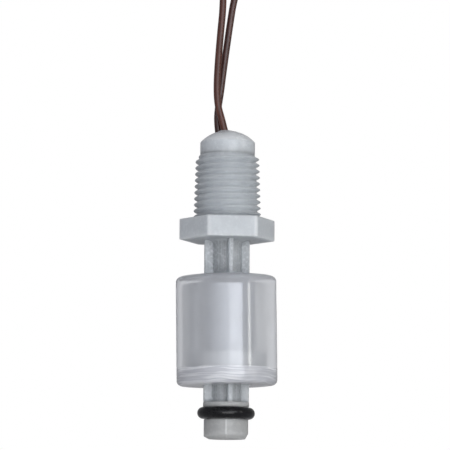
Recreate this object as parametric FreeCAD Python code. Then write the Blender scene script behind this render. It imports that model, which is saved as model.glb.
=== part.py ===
"""Vertical float level switch: a ribbed plastic stem with a sealed reed switch, and a sliding float.

Millimetres, +Z up towards the leads. The origin is the centre of the hexagon's top face, where the
pipe thread ends, and two of the hexagon's flats face -Y and +Y.
"""
import FreeCAD, Part
import math
import os

V = FreeCAD.Vector
Z_AXIS = V(0, 0, 1)

# --- Reed switch and the wires beside it ------------------------------------------------------
GLASS_D = 1.8            # sealed glass tube
GLASS_LENGTH = 10.2
GLASS_WALL = 0.25
GLASS_SEAL = 1.6         # solid glass round each reed, at both ends
REED_WIRE_D = 0.45       # round part of a reed
REED_TAIL = 6.0          # round part outside the glass
BLADE_WIDTH = 0.9        # flattened part inside the glass
BLADE_THICKNESS = 0.2
BLADE_OVERLAP = 1.0      # where the two contacts face each other
CONTACT_GAP = 0.04
BLADE_TAPER = 0.8        # length over which the round wire turns flat
REED_TURN = 119.4        # turn of the reed and wires about the stem, degrees

# --- Leads --------------------------------------------------------------------------------------
LEAD_D = 1.07            # outside of the insulation
STRAND_D = 0.6           # bundle of bare strands
STRIP_LENGTH = 6.0       # bare tinned end
POTTING_GAP = 0.11       # least potting between any two pieces, or round them
JOINT_LENGTH = 2.4       # wire and reed soldered side by side
SOLDER_FILM = 0.04       # solder between wire and reed
SOLDER_COAT = 0.1        # solder over the outside of both
SLEEVE_WALL = 0.12       # shrink sleeve
SLEEVE_OVERHANG = 0.6    # sleeve past each end of the solder
POTTED_STRAIGHT = 2.2    # straight stretch of each lead below the potting's top
POTTED_BEND = 1.2        # height above the neck's floor where each lead turns down the bore

# --- Stem ---------------------------------------------------------------------------------------
STEM_WALL = 0.55         # plastic round the reed bore
BORE_CONE = 0.64         # cone at the bottom of the reed bore
RIB_HEIGHT = 1.325       # guide rib, from the core
RIB_WIDTH = 0.74
RIB_COUNT = 4
RIB_TURN = 3.5           # turn of the ribs from the hexagon's flats, degrees
ROOT_FILLET = 0.9        # under the hexagon
COLLAR_HEIGHT = 0.65     # full disc that ends the ribs above the groove
TIP_D = 6.7
TIP_LENGTH = 2.95
TIP_CHAMFER = 0.45
TIP_FLOOR = 1.5          # plastic below the blind bore

# --- Stop ring (an O-ring in a groove) ----------------------------------------------------------
RING_SECTION = 1.75
RING_PLAY = 0.15         # groove width beyond the ring's section
GROOVE_FLOOR = 0.475     # groove's floor, from the core

# --- Float --------------------------------------------------------------------------------------
FLOAT_PLAY = 0.22        # radial, between the ribs and the float's tube
FLOAT_TUBE_WALL = 0.75
MAGNET_PLAY = 0.15       # radial, between the tube and the magnet
MAGNET_THICKNESS = 1.5   # radial
MAGNET_HEIGHT = 3.0
MAGNET_CLEARANCE = 0.3   # radial, between the magnet and the outer wall
FLOAT_WALL = 1.25
FLOAT_END = 1.1          # top wall and welded cap
FLOAT_EDGE = 0.7         # outer edge radius
FLOAT_BORE_EDGE = 0.25   # broken edge of the bore, above and below
FLOAT_HEIGHT = 16.65
CAP_SPIGOT = 0.8         # cap's step into the shell
SPIGOT_WALL = 0.35
FLOAT_RISE = 5.5         # from the shown height up to the hexagon
FLOAT_DROP = 3.2         # from the shown height down to the stop ring

# --- Threaded neck ------------------------------------------------------------------------------
HEX_FLATS = 12.7
HEX_HEIGHT = 3.175
HEX_EDGE = 0.12          # broken edge of the hexagon
THREAD_BASE_D = 10.3     # over the crests, at the hexagon
THREAD_LENGTH = 9.5
THREAD_TAPER = 1.0 / 16.0
THREAD_LEAD_IN = 0.5     # chamfer at the thread's start
THREAD_PITCH = 25.4 / 27
THREAD_DEPTH = 0.6
THREAD_FLANK = 30.0      # slope of a groove's sides from level, degrees
NECK_COLLAR_D = 8.3
NECK_COLLAR_LENGTH = 2.35
NECK_BORE_D = 6.2
NECK_FLOOR = 2.0         # bottom of the wide bore, above the hexagon's top
DOME_HEIGHT = 1.8        # potting over the neck's rim

# --- Put-away hank of each lead -------------------------------------------------------------------
HANK_FOLD_R = 3.2        # innermost fold, centre of the wire
HANK_STRAIGHT = 14.6
HANK_RISE = 22.35        # from the potting's top up to the hank
HANK_CENTRE_X = 1.5
HANK_LAYERS = 4.4        # wire diameters, from the middle plane outwards
TIE_BAND = 0.8
TIE_HEIGHT = 3.0
TIE_CORNER = 1.1
END_SEAT = 0.8           # how far a tinned end starts inside its hank

# Points of the two free leads, from the potting to their hanks. Heights are above the potting's top.
FRONT_LEAD_ROUTE = [
    V(-0.62, -0.52, 0.25), V(-1.00, -0.51, 1.75), V(-1.60, -0.45, 3.75), V(-1.78, -0.39, 6.55),
    V(-1.61, -0.36, 10.35), V(-1.26, -0.36, 14.95), V(-0.86, -0.44, 19.35), V(-0.95, -0.58, 23.65),
]
REAR_LEAD_ROUTE = [
    V(-1.36, 0.78, 0.25), V(-1.52, 0.83, 1.65), V(-1.41, 0.81, 3.65), V(-1.03, 0.74, 6.05),
    V(-0.70, 0.68, 8.95), V(-0.22, 0.61, 12.65), V(0.32, 0.56, 16.65), V(0.92, 0.54, 20.65),
    V(2.00, 0.58, 23.95),
]

# --- Heights and radii that follow --------------------------------------------------------------
BORE_R = (GLASS_D + LEAD_D + 3 * POTTING_GAP) / 2
CORE_R = BORE_R + STEM_WALL
RIB_R = CORE_R + RIB_HEIGHT
FLOAT_BORE_R = RIB_R + FLOAT_PLAY
FLOAT_TUBE_R = FLOAT_BORE_R + FLOAT_TUBE_WALL
MAGNET_BORE_R = FLOAT_TUBE_R + MAGNET_PLAY
MAGNET_R = MAGNET_BORE_R + MAGNET_THICKNESS
FLOAT_CAVITY_R = MAGNET_R + MAGNET_CLEARANCE
FLOAT_R = FLOAT_CAVITY_R + FLOAT_WALL
GROOVE_R = CORE_R + GROOVE_FLOOR
RING_R = GROOVE_R + RING_SECTION / 2

HEX_BOTTOM = -HEX_HEIGHT
FLOAT_TOP = HEX_BOTTOM - FLOAT_RISE
FLOAT_BOTTOM = FLOAT_TOP - FLOAT_HEIGHT
RING_TOP = FLOAT_BOTTOM - FLOAT_DROP
RING_Z = RING_TOP - RING_SECTION / 2
GROOVE_TOP = RING_TOP + RING_PLAY / 2
GROOVE_BOTTOM = GROOVE_TOP - RING_SECTION - RING_PLAY
TIP_BOTTOM = GROOVE_BOTTOM - TIP_LENGTH
BORE_BOTTOM = TIP_BOTTOM + TIP_FLOOR

MAGNET_BOTTOM = FLOAT_BOTTOM + FLOAT_END + CAP_SPIGOT
REED_Z = MAGNET_BOTTOM + MAGNET_HEIGHT / 2 + FLOAT_RISE      # contacts meet when the float is up
GLASS_TOP = REED_Z + GLASS_LENGTH / 2
GLASS_BOTTOM = REED_Z - GLASS_LENGTH / 2

NECK_TOP = THREAD_LENGTH + NECK_COLLAR_LENGTH
POTTING_TOP = NECK_TOP + DOME_HEIGHT
THREAD_TOP = THREAD_LENGTH - THREAD_LEAD_IN

# Places across the bore, in the reed's own plane: the glass on one side, the long wire on the other.
REED_X = -(BORE_R - POTTING_GAP - GLASS_D / 2)
LONG_WIRE_X = BORE_R - POTTING_GAP - LEAD_D / 2
STRAND_Y = (REED_WIRE_D + STRAND_D) / 2 + SOLDER_FILM
SHORT_WIRE_X = LONG_WIRE_X - LEAD_D - 3 * POTTING_GAP
JOINT_Y = (STRAND_Y + STRAND_D / 2 - REED_WIRE_D / 2) / 2
SOLDER_R = (REED_WIRE_D + SOLDER_FILM + STRAND_D) / 2 + SOLDER_COAT
SLEEVE_R = SOLDER_R + SLEEVE_WALL
UPPER_JOINT_Z = GLASS_TOP + REED_TAIL - JOINT_LENGTH
LOWER_JOINT_Z = GLASS_BOTTOM - REED_TAIL

HANK_INNER_R = HANK_FOLD_R - LEAD_D / 2
HANK_OUTER_R = HANK_FOLD_R + 1.5 * LEAD_D
HANK_DEPTH = HANK_LAYERS * LEAD_D
HANK_LOW_Z = POTTING_TOP + HANK_RISE + HANK_OUTER_R
HANK_HIGH_Z = HANK_LOW_Z + HANK_STRAIGHT


# --- Helpers --------------------------------------------------------------------------------------
def turn_between(before, corner, after):
    """Angle by which a path turns at a corner, in radians."""
    return (corner - before).getAngle(after - corner)


def rounded_path(points, radii, closed=False):
    """Straight edges through the points, with a tangent arc at each corner that has a radius."""
    count = len(points)
    starts, ends, arcs = list(points), list(points), {}
    corners = range(count) if closed else range(1, count - 1)
    for i in corners:
        radius = radii.get(i, 0.0)
        if radius <= 0.0:
            continue
        before, corner, after = points[i - 1], points[i], points[(i + 1) % count]
        half = turn_between(before, corner, after) / 2
        back = (before - corner).normalize()
        on = (after - corner).normalize()
        reach = radius * math.tan(half)
        starts[i] = corner + back * reach
        ends[i] = corner + on * reach
        middle = corner + (back + on).normalize() * (radius / math.cos(half) - radius)
        arcs[i] = Part.Arc(starts[i], middle, ends[i]).toShape()
    edges = []
    for i in range(count if closed else count - 1):
        if i in arcs:
            edges.append(arcs[i])
        following = (i + 1) % count
        if (starts[following] - ends[i]).Length > 1e-6:
            edges.append(Part.LineSegment(ends[i], starts[following]).toShape())
    return Part.Wire(edges)


def turned(profile):
    """Solid of revolution about Z from (radius, height) points. A third number rounds that corner."""
    points = [V(point[0], 0, point[1]) for point in profile]
    rounds = {i: point[2] for i, point in enumerate(profile) if len(point) > 2}
    face = Part.Face(rounded_path(points, rounds, closed=True))
    return face.revolve(V(0, 0, 0), Z_AXIS, 360)


def rod(radius, low, high, x=0.0, y=0.0):
    """Upright cylinder between two heights."""
    return Part.makeCylinder(radius, high - low, V(x, y, low), Z_AXIS)


def joined(first, *others):
    """One solid from pieces that share material, with its split faces merged."""
    return first.fuse(list(others)).removeSplitter()


def wire_radii(points):
    """Largest arc at each point that its two runs leave room for."""
    radii = {}
    for i in range(1, len(points) - 1):
        run = min((points[i] - points[i - 1]).Length, (points[i + 1] - points[i]).Length)
        radii[i] = 0.45 * run / math.tan(turn_between(points[i - 1], points[i], points[i + 1]) / 2)
    return radii


def wire_tube(points, diameter):
    """Round wire along straight runs joined by tangent arcs."""
    path = rounded_path(points, wire_radii(points))
    start = (points[1] - points[0]).normalize()
    section = Part.Wire(Part.makeCircle(diameter / 2, points[0], start))
    return path.makePipeShell([section], True, False)


def in_reed_plane(shape):
    """Turns a piece from the reed's own plane to its place about the stem."""
    placed = shape.copy()
    placed.rotate(V(0, 0, 0), Z_AXIS, REED_TURN)
    return placed


def from_reed_plane(x, z):
    """Point of the reed's own plane, in the part's frame."""
    angle = math.radians(REED_TURN)
    return V(x * math.cos(angle), x * math.sin(angle), z)


# --- Body: one moulding -----------------------------------------------------------------------------
def bore_profile():
    """Inside of the body: a wide neck, and the narrow reed bore with a coned bottom."""
    neck_r = NECK_BORE_D / 2
    step = neck_r - BORE_R
    return [
        (0, BORE_BOTTOM), (BORE_R - BORE_CONE, BORE_BOTTOM), (BORE_R, BORE_BOTTOM + BORE_CONE),
        (BORE_R, NECK_FLOOR - step), (neck_r, NECK_FLOOR), (neck_r, NECK_TOP), (0, NECK_TOP),
    ]


def crest_point(height):
    """(radius, height) on the taper over the thread's crests."""
    return ((THREAD_BASE_D - height * THREAD_TAPER) / 2, height)


def thread_grooves():
    """Points of the thread's grooves from the hexagon up, each one a ring instead of a turn of a helix."""
    half = THREAD_DEPTH * math.tan(math.radians(THREAD_FLANK))
    highest = THREAD_TOP - THREAD_PITCH / 2
    count = int((highest - half) / THREAD_PITCH) + 1
    points = []
    for i in reversed(range(count)):
        middle = highest - i * THREAD_PITCH
        root = crest_point(middle)[0] - THREAD_DEPTH
        points += [crest_point(middle - half), (root, middle), crest_point(middle + half)]
    return points


def threaded_neck():
    """Tapered neck with its thread, and the plain collar above it."""
    collar_r = NECK_COLLAR_D / 2
    return turned([
        (0, HEX_BOTTOM / 2), crest_point(HEX_BOTTOM / 2), *thread_grooves(), crest_point(THREAD_TOP),
        (collar_r, THREAD_LENGTH), (collar_r, NECK_TOP), (0, NECK_TOP),
    ])


def hexagon():
    """Wrench hexagon with lightly broken edges."""
    corner_r = HEX_FLATS / 2 / math.cos(math.radians(30))
    corners = [V(corner_r * math.cos(math.radians(60 * i)), corner_r * math.sin(math.radians(60 * i)),
                 HEX_BOTTOM) for i in range(6)]
    prism = Part.Face(Part.makePolygon(corners + corners[:1])).extrude(V(0, 0, HEX_HEIGHT))
    return prism.makeFillet(HEX_EDGE, prism.Edges)


def ribbed_stem():
    """Core tube with guide ribs, and the root fillet by which it grows out of the hexagon."""
    low, high = GROOVE_TOP + COLLAR_HEIGHT / 2, HEX_BOTTOM / 2
    core = turned([
        (0, low), (CORE_R, low), (CORE_R, HEX_BOTTOM, ROOT_FILLET), (RIB_R, HEX_BOTTOM),
        (RIB_R, high), (0, high),
    ])
    ribs = []
    for i in range(RIB_COUNT):
        rib = Part.makeBox(RIB_R * 2, RIB_WIDTH, high - low, V(0, -RIB_WIDTH / 2, low))
        rib = rib.common(rod(RIB_R, low, high))
        rib.rotate(V(0, 0, 0), Z_AXIS, RIB_TURN + 360.0 * i / RIB_COUNT)
        ribs.append(rib)
    return joined(core, *ribs)


def ring_groove_and_tip():
    """Disc that ends the ribs, the stop ring's groove, and the chamfered tip."""
    tip_r = TIP_D / 2
    return turned([
        (0, TIP_BOTTOM), (tip_r - TIP_CHAMFER, TIP_BOTTOM), (tip_r, TIP_BOTTOM + TIP_CHAMFER),
        (tip_r, GROOVE_BOTTOM), (GROOVE_R, GROOVE_BOTTOM), (GROOVE_R, GROOVE_TOP), (RIB_R, GROOVE_TOP),
        (RIB_R, GROOVE_TOP + COLLAR_HEIGHT), (0, GROOVE_TOP + COLLAR_HEIGHT),
    ])


def switch_body():
    """Neck, hexagon, ribbed stem and tip, bored out for the reed switch and its wires."""
    outside = joined(hexagon(), threaded_neck(), ribbed_stem(), ring_groove_and_tip())
    return outside.cut(turned(bore_profile())).removeSplitter()


# --- Reed switch ------------------------------------------------------------------------------------
def glass_outside():
    """Outer form of the sealed glass, drawn in at both ends."""
    radius = GLASS_D / 2
    neck = REED_WIRE_D / 2 + GLASS_WALL / 2
    shoulder = radius - neck
    return turned([
        (0, GLASS_BOTTOM), (neck, GLASS_BOTTOM), (radius, GLASS_BOTTOM + shoulder),
        (radius, GLASS_TOP - shoulder), (neck, GLASS_TOP), (0, GLASS_TOP),
    ])


def glass_hollow():
    """Sealed gas space round the two contacts."""
    inner = GLASS_D / 2 - GLASS_WALL
    low, high = GLASS_BOTTOM + GLASS_SEAL, GLASS_TOP - GLASS_SEAL
    return turned([(0, low), (inner, low + inner), (inner, high - inner), (0, high)])


def reed_glass():
    """Glass tube sealed round a reed at each end."""
    wire = rod(REED_WIRE_D / 2, GLASS_BOTTOM - 1, GLASS_TOP + 1)
    glass = glass_outside().cut(glass_hollow())
    seal_low = GLASS_BOTTOM + GLASS_SEAL + GLASS_D / 2
    seal_high = GLASS_TOP - GLASS_SEAL - GLASS_D / 2
    lower = wire.common(rod(GLASS_D, GLASS_BOTTOM - 1, seal_low))
    upper = wire.common(rod(GLASS_D, seal_high, GLASS_TOP + 1))
    glass = glass.cut([lower, upper])
    glass.translate(V(REED_X, 0, 0))
    return in_reed_plane(glass)


def reed_blade(side):
    """One reed: a round tail, sealed in the glass, that turns into a flat contact. side is 1 above."""
    tail_end = REED_TAIL + GLASS_LENGTH / 2
    flat_start = GLASS_LENGTH / 2 - GLASS_SEAL - GLASS_D / 2
    offset = (CONTACT_GAP + BLADE_THICKNESS) / 2
    round_part = rod(REED_WIRE_D / 2, flat_start, tail_end)
    ring = Part.Wire(Part.makeCircle(REED_WIRE_D / 2, V(0, 0, flat_start), Z_AXIS))
    half_w, half_t, z = BLADE_WIDTH / 2, BLADE_THICKNESS / 2, flat_start - BLADE_TAPER
    corners = [V(-half_w, offset - half_t, z), V(half_w, offset - half_t, z),
               V(half_w, offset + half_t, z), V(-half_w, offset + half_t, z)]
    flat = Part.makePolygon(corners + corners[:1])
    taper = Part.makeLoft([ring, flat], True)
    contact = Part.makeBox(BLADE_WIDTH, BLADE_THICKNESS, z + BLADE_OVERLAP / 2,
                           V(-half_w, offset - half_t, -BLADE_OVERLAP / 2))
    reed = joined(round_part, taper, contact)
    if side < 0:
        reed.rotate(V(0, 0, 0), V(1, 0, 0), 180)
    reed.translate(V(REED_X, 0, REED_Z))
    return in_reed_plane(reed)


# --- Wires inside the potting -----------------------------------------------------------------------
def above_potting(route):
    """Points of a free lead, in the part's frame."""
    return [V(point.x, point.y, POTTING_TOP + point.z) for point in route]


def potted_route(points, x, low):
    """Wire's route from where it leaves the potting down to a height in the reed bore."""
    slope = (points[1] - points[0]).normalize()
    bend_top = points[0] - slope * POTTED_STRAIGHT
    return [points[0], bend_top, from_reed_plane(x, NECK_FLOOR + POTTED_BEND), from_reed_plane(x, low)]


def short_wire_bottom():
    """Lower end of the short wire's insulation."""
    return UPPER_JOINT_Z + JOINT_LENGTH + SLEEVE_OVERHANG + STRAND_D


def long_wire_bottom():
    """Lower end of the long wire's insulation."""
    return LOWER_JOINT_Z + JOINT_LENGTH + SLEEVE_OVERHANG + LEAD_D


def strands(wire_x, start, joint_low):
    """Bare strands from the end of the insulation across to the reed's tail, and along it."""
    bend = joint_low + JOINT_LENGTH + SLEEVE_OVERHANG / 2
    points = [V(wire_x, 0, start), V(wire_x, 0, start - STRAND_D / 2), V(REED_X, STRAND_Y, bend),
              V(REED_X, STRAND_Y, joint_low)]
    return in_reed_plane(wire_tube(points, STRAND_D))


def solder_outside(low):
    """Outer form of a soldered joint, tapered at both ends."""
    blob = rod(SOLDER_R, low, low + JOINT_LENGTH, REED_X, JOINT_Y)
    ends = [edge for edge in blob.Edges if edge.Closed]
    return in_reed_plane(blob.makeChamfer(SOLDER_COAT / 2, ends))


def sleeve(low):
    """Shrink sleeve round a soldered joint."""
    bottom, top = low - SLEEVE_OVERHANG, low + JOINT_LENGTH + SLEEVE_OVERHANG
    tube = rod(SLEEVE_R, bottom, top, REED_X, JOINT_Y)
    tube = tube.cut(rod(SOLDER_R, bottom, top, REED_X, JOINT_Y))
    return in_reed_plane(tube)


def potting_fill(embedded):
    """Resin that fills the neck and the stem round everything in them, domed over the neck's rim."""
    rim_r = NECK_COLLAR_D / 2
    sphere_r = (rim_r ** 2 + DOME_HEIGHT ** 2) / (2 * DOME_HEIGHT)
    sphere = Part.makeSphere(sphere_r, V(0, 0, POTTING_TOP - sphere_r))
    dome = sphere.common(rod(rim_r, NECK_TOP, POTTING_TOP))
    return joined(turned(bore_profile()), dome).cut(embedded)


# --- Stop ring and float ----------------------------------------------------------------------------
def stop_ring():
    """O-ring seated on the groove's floor."""
    return Part.makeTorus(RING_R, RING_SECTION / 2, V(0, 0, RING_Z), Z_AXIS)


def float_shell():
    """Float's outer wall, top and inner tube: one moulding, open below for the cap."""
    cap_top = FLOAT_BOTTOM + FLOAT_END
    ceiling = FLOAT_TOP - FLOAT_END
    return turned([
        (FLOAT_BORE_R, cap_top), (FLOAT_TUBE_R, cap_top), (FLOAT_TUBE_R, ceiling),
        (FLOAT_CAVITY_R, ceiling), (FLOAT_CAVITY_R, cap_top), (FLOAT_R, cap_top),
        (FLOAT_R, FLOAT_TOP, FLOAT_EDGE), (FLOAT_BORE_R + FLOAT_BORE_EDGE, FLOAT_TOP),
        (FLOAT_BORE_R, FLOAT_TOP - FLOAT_BORE_EDGE),
    ])


def float_cap():
    """Ring welded over the shell's open end, with a spigot inside each wall."""
    cap_top = FLOAT_BOTTOM + FLOAT_END
    spigot_top = cap_top + CAP_SPIGOT
    inner_spigot, outer_spigot = FLOAT_TUBE_R + SPIGOT_WALL, FLOAT_CAVITY_R - SPIGOT_WALL
    return turned([
        (FLOAT_BORE_R, FLOAT_BOTTOM + FLOAT_BORE_EDGE), (FLOAT_BORE_R + FLOAT_BORE_EDGE, FLOAT_BOTTOM),
        (FLOAT_R, FLOAT_BOTTOM, FLOAT_EDGE), (FLOAT_R, cap_top), (FLOAT_CAVITY_R, cap_top),
        (FLOAT_CAVITY_R, spigot_top), (outer_spigot, spigot_top), (outer_spigot, cap_top),
        (inner_spigot, cap_top), (inner_spigot, spigot_top), (FLOAT_TUBE_R, spigot_top),
        (FLOAT_TUBE_R, cap_top), (FLOAT_BORE_R, cap_top),
    ])


def float_magnet():
    """Ring magnet that rests on the cap's spigots."""
    low, high = MAGNET_BOTTOM, MAGNET_BOTTOM + MAGNET_HEIGHT
    return turned([(MAGNET_BORE_R, low), (MAGNET_R, low), (MAGNET_R, high), (MAGNET_BORE_R, high)])


# --- Put-away leads ---------------------------------------------------------------------------------
def hank(side):
    """Outer form of one lead folded to and fro. side is -1 at the front and 1 at the rear."""
    loops = []
    for radius in (HANK_OUTER_R, HANK_INNER_R):
        left, right = HANK_CENTRE_X - radius, HANK_CENTRE_X + radius
        low, high = HANK_LOW_Z, HANK_HIGH_Z
        top = Part.Arc(V(right, 0, high), V(HANK_CENTRE_X, 0, high + radius), V(left, 0, high))
        bottom = Part.Arc(V(left, 0, low), V(HANK_CENTRE_X, 0, low - radius), V(right, 0, low))
        loop = Part.Wire([
            Part.LineSegment(V(right, 0, low), V(right, 0, high)).toShape(), top.toShape(),
            Part.LineSegment(V(left, 0, high), V(left, 0, low)).toShape(), bottom.toShape()])
        loops.append(Part.Face(loop).extrude(V(0, side * HANK_DEPTH, 0)))
    return loops[0].cut(loops[1])


def tinned_end(side):
    """Stripped and tinned end of a lead, where it leaves its hank upwards."""
    x = HANK_CENTRE_X + side * (HANK_FOLD_R + LEAD_D)
    reach = math.sqrt(HANK_OUTER_R ** 2 - (HANK_FOLD_R + LEAD_D) ** 2)
    low = HANK_HIGH_Z + reach - END_SEAT
    return rod(STRAND_D / 2, low, low + END_SEAT + STRIP_LENGTH, x, side * LEAD_D * 1.5)


def lead_tie():
    """Band that holds the two hanks together at the middle of their height."""
    middle = (HANK_LOW_Z + HANK_HIGH_Z) / 2
    solids = []
    for grow in (TIE_BAND, 0.0):
        half_x, half_y = HANK_OUTER_R + grow, HANK_DEPTH + grow
        block = Part.makeBox(2 * half_x, 2 * half_y, TIE_HEIGHT,
                             V(HANK_CENTRE_X - half_x, -half_y, middle - TIE_HEIGHT / 2))
        solids.append(block)
    uprights = [edge for edge in solids[0].Edges
                if abs(edge.Vertexes[0].Z - edge.Vertexes[1].Z) > TIE_HEIGHT / 2]
    return solids[0].makeFillet(TIE_CORNER, uprights).cut(solids[1])


# --- Assembly ---------------------------------------------------------------------------------------
def build():
    """Every piece by its node name."""
    front_points, rear_points = above_potting(FRONT_LEAD_ROUTE), above_potting(REAR_LEAD_ROUTE)
    front_potted = wire_tube(potted_route(front_points, SHORT_WIRE_X, short_wire_bottom()), LEAD_D)
    rear_potted = wire_tube(potted_route(rear_points, LONG_WIRE_X, long_wire_bottom()), LEAD_D)
    front_strands = strands(SHORT_WIRE_X, short_wire_bottom(), UPPER_JOINT_Z)
    rear_strands = strands(LONG_WIRE_X, long_wire_bottom(), LOWER_JOINT_Z)
    upper_reed, lower_reed = reed_blade(1), reed_blade(-1)
    upper_solder, lower_solder = solder_outside(UPPER_JOINT_Z), solder_outside(LOWER_JOINT_Z)
    upper_sleeve, lower_sleeve = sleeve(UPPER_JOINT_Z), sleeve(LOWER_JOINT_Z)
    glass_form = glass_outside()
    glass_form.translate(V(REED_X, 0, 0))
    embedded = [in_reed_plane(glass_form), upper_reed, lower_reed, front_potted, rear_potted,
                front_strands, rear_strands, upper_solder, lower_solder, upper_sleeve, lower_sleeve]
    return {
        "switch_body": switch_body(),
        "potting_fill": potting_fill(embedded),
        "reed_glass": reed_glass(),
        "reed_blade_upper": upper_reed,
        "reed_blade_lower": lower_reed,
        "joint_solder_upper": upper_solder.cut([upper_reed, front_strands]),
        "joint_solder_lower": lower_solder.cut([lower_reed, rear_strands]),
        "joint_sleeve_upper": upper_sleeve,
        "joint_sleeve_lower": lower_sleeve,
        "front_lead_potted": front_potted,
        "rear_lead_potted": rear_potted,
        "front_lead_strands": front_strands,
        "rear_lead_strands": rear_strands,
        "front_lead": wire_tube(front_points, LEAD_D),
        "rear_lead": wire_tube(rear_points, LEAD_D),
        "front_lead_hank": hank(-1),
        "rear_lead_hank": hank(1),
        "front_lead_end": tinned_end(-1),
        "rear_lead_end": tinned_end(1),
        "lead_tie": lead_tie(),
        "stop_ring": stop_ring(),
        "float_shell": float_shell(),
        "float_cap": float_cap(),
        "float_magnet": float_magnet(),
    }


def report_route(name, points, shape):
    """Prints a lead's arc radii and its volume against section times length."""
    radii = wire_radii(points)
    length = rounded_path(points, radii).Length
    share = shape.Volume / (math.pi * LEAD_D ** 2 / 4 * length)
    listed = ", ".join("%.1f" % radii[i] for i in sorted(radii))
    print("%s: length %.1f mm, arc radii %s mm, volume share %.4f" % (name, length, listed, share))


def main():
    """Builds and writes one STEP file for each piece."""
    os.makedirs("parts", exist_ok=True)
    pieces = build()
    for name, shape in pieces.items():
        shape.exportStep("parts/%s.step" % name)
    report_route("front_lead", FRONT_LEAD_ROUTE, pieces["front_lead"])
    report_route("rear_lead", REAR_LEAD_ROUTE, pieces["rear_lead"])


main()
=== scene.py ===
"""Looks of a small vertical float level switch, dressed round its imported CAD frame.

Everything is in metres, +Z up towards the leads. The origin is the centre of the hexagon's top face,
and two of the hexagon's flats face -Y and +Y. New surfaces are grids of points worked out as whole
arrays; the CAD nodes that stay as they are only get materials.
"""

import logging
import math
from dataclasses import dataclass, field
from enum import Enum

import bpy
import numpy as np
from mathutils import Matrix, Vector


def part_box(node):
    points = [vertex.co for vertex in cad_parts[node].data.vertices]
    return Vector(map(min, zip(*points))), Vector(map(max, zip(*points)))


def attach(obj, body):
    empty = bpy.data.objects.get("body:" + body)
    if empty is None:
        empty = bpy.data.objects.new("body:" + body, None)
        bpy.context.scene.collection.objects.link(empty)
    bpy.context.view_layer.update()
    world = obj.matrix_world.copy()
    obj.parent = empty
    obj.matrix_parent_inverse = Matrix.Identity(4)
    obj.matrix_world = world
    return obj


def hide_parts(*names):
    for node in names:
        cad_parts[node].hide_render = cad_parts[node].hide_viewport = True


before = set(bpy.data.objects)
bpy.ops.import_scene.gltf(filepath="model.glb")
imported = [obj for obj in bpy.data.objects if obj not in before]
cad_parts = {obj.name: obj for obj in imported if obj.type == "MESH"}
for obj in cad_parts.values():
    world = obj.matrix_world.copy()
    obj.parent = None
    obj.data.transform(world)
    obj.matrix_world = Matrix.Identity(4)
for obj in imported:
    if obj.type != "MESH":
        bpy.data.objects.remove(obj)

MM = 0.001
LEAD_DIAMETER = 1.07 * MM
PLAY_AXIS_DEG = 82.5  # level axis, from +X, that the float and the ring lean about
LOG = logging.getLogger("float_switch")

Colour = tuple[float, float, float]
Row = tuple[np.ndarray, np.ndarray]  # radius and height at each column of a closed section


# --- Places read from the frame ---------------------------------------------------------------------
def low(node: str) -> Vector:
    """Lowest corner of a CAD node."""
    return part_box(node)[0]


def high(node: str) -> Vector:
    """Highest corner of a CAD node."""
    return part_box(node)[1]


def middle(node: str) -> Vector:
    """Centre of a CAD node's box."""
    return (low(node) + high(node)) / 2


class Body(Enum):
    """The two rigid bodies that pieces ride on."""

    SWITCH = "switch"
    FLOAT = "float"


# --- Mesh helpers -----------------------------------------------------------------------------------
def smooth_step(start: float, end: float, value: np.ndarray) -> np.ndarray:
    """Goes from 0 at start to 1 at end along 3t^2 - 2t^3.

    Args:
        start: Where the step begins.
        end: Where it ends, which may be below start.
        value: The numbers to map.

    Returns:
        The step's share at each number.
    """
    t = np.clip((value - start) / (end - start), 0.0, 1.0)
    return t * t * (3.0 - 2.0 * t)


def ripple(angle: np.ndarray, height: np.ndarray, seed: int, waves: int = 6) -> np.ndarray:
    """Smooth unevenness round an axis: a sum of a few sine waves of random order, tilt and phase.

    Args:
        angle: Angles about the axis, in radians.
        height: Heights, in metres, of the same shape.
        seed: Chooses the waves.
        waves: How many waves are added.

    Returns:
        Unevenness from about -1 to 1.
    """
    chance = np.random.default_rng(seed)
    total = np.zeros(np.broadcast(angle, height).shape)
    for order in chance.integers(1, 9, waves):
        slant, phase = chance.uniform(-900.0, 900.0), chance.uniform(0.0, 2.0 * math.pi)
        total += np.sin(order * angle + slant * height + phase)
    return total / math.sqrt(waves) / 1.4


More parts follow.
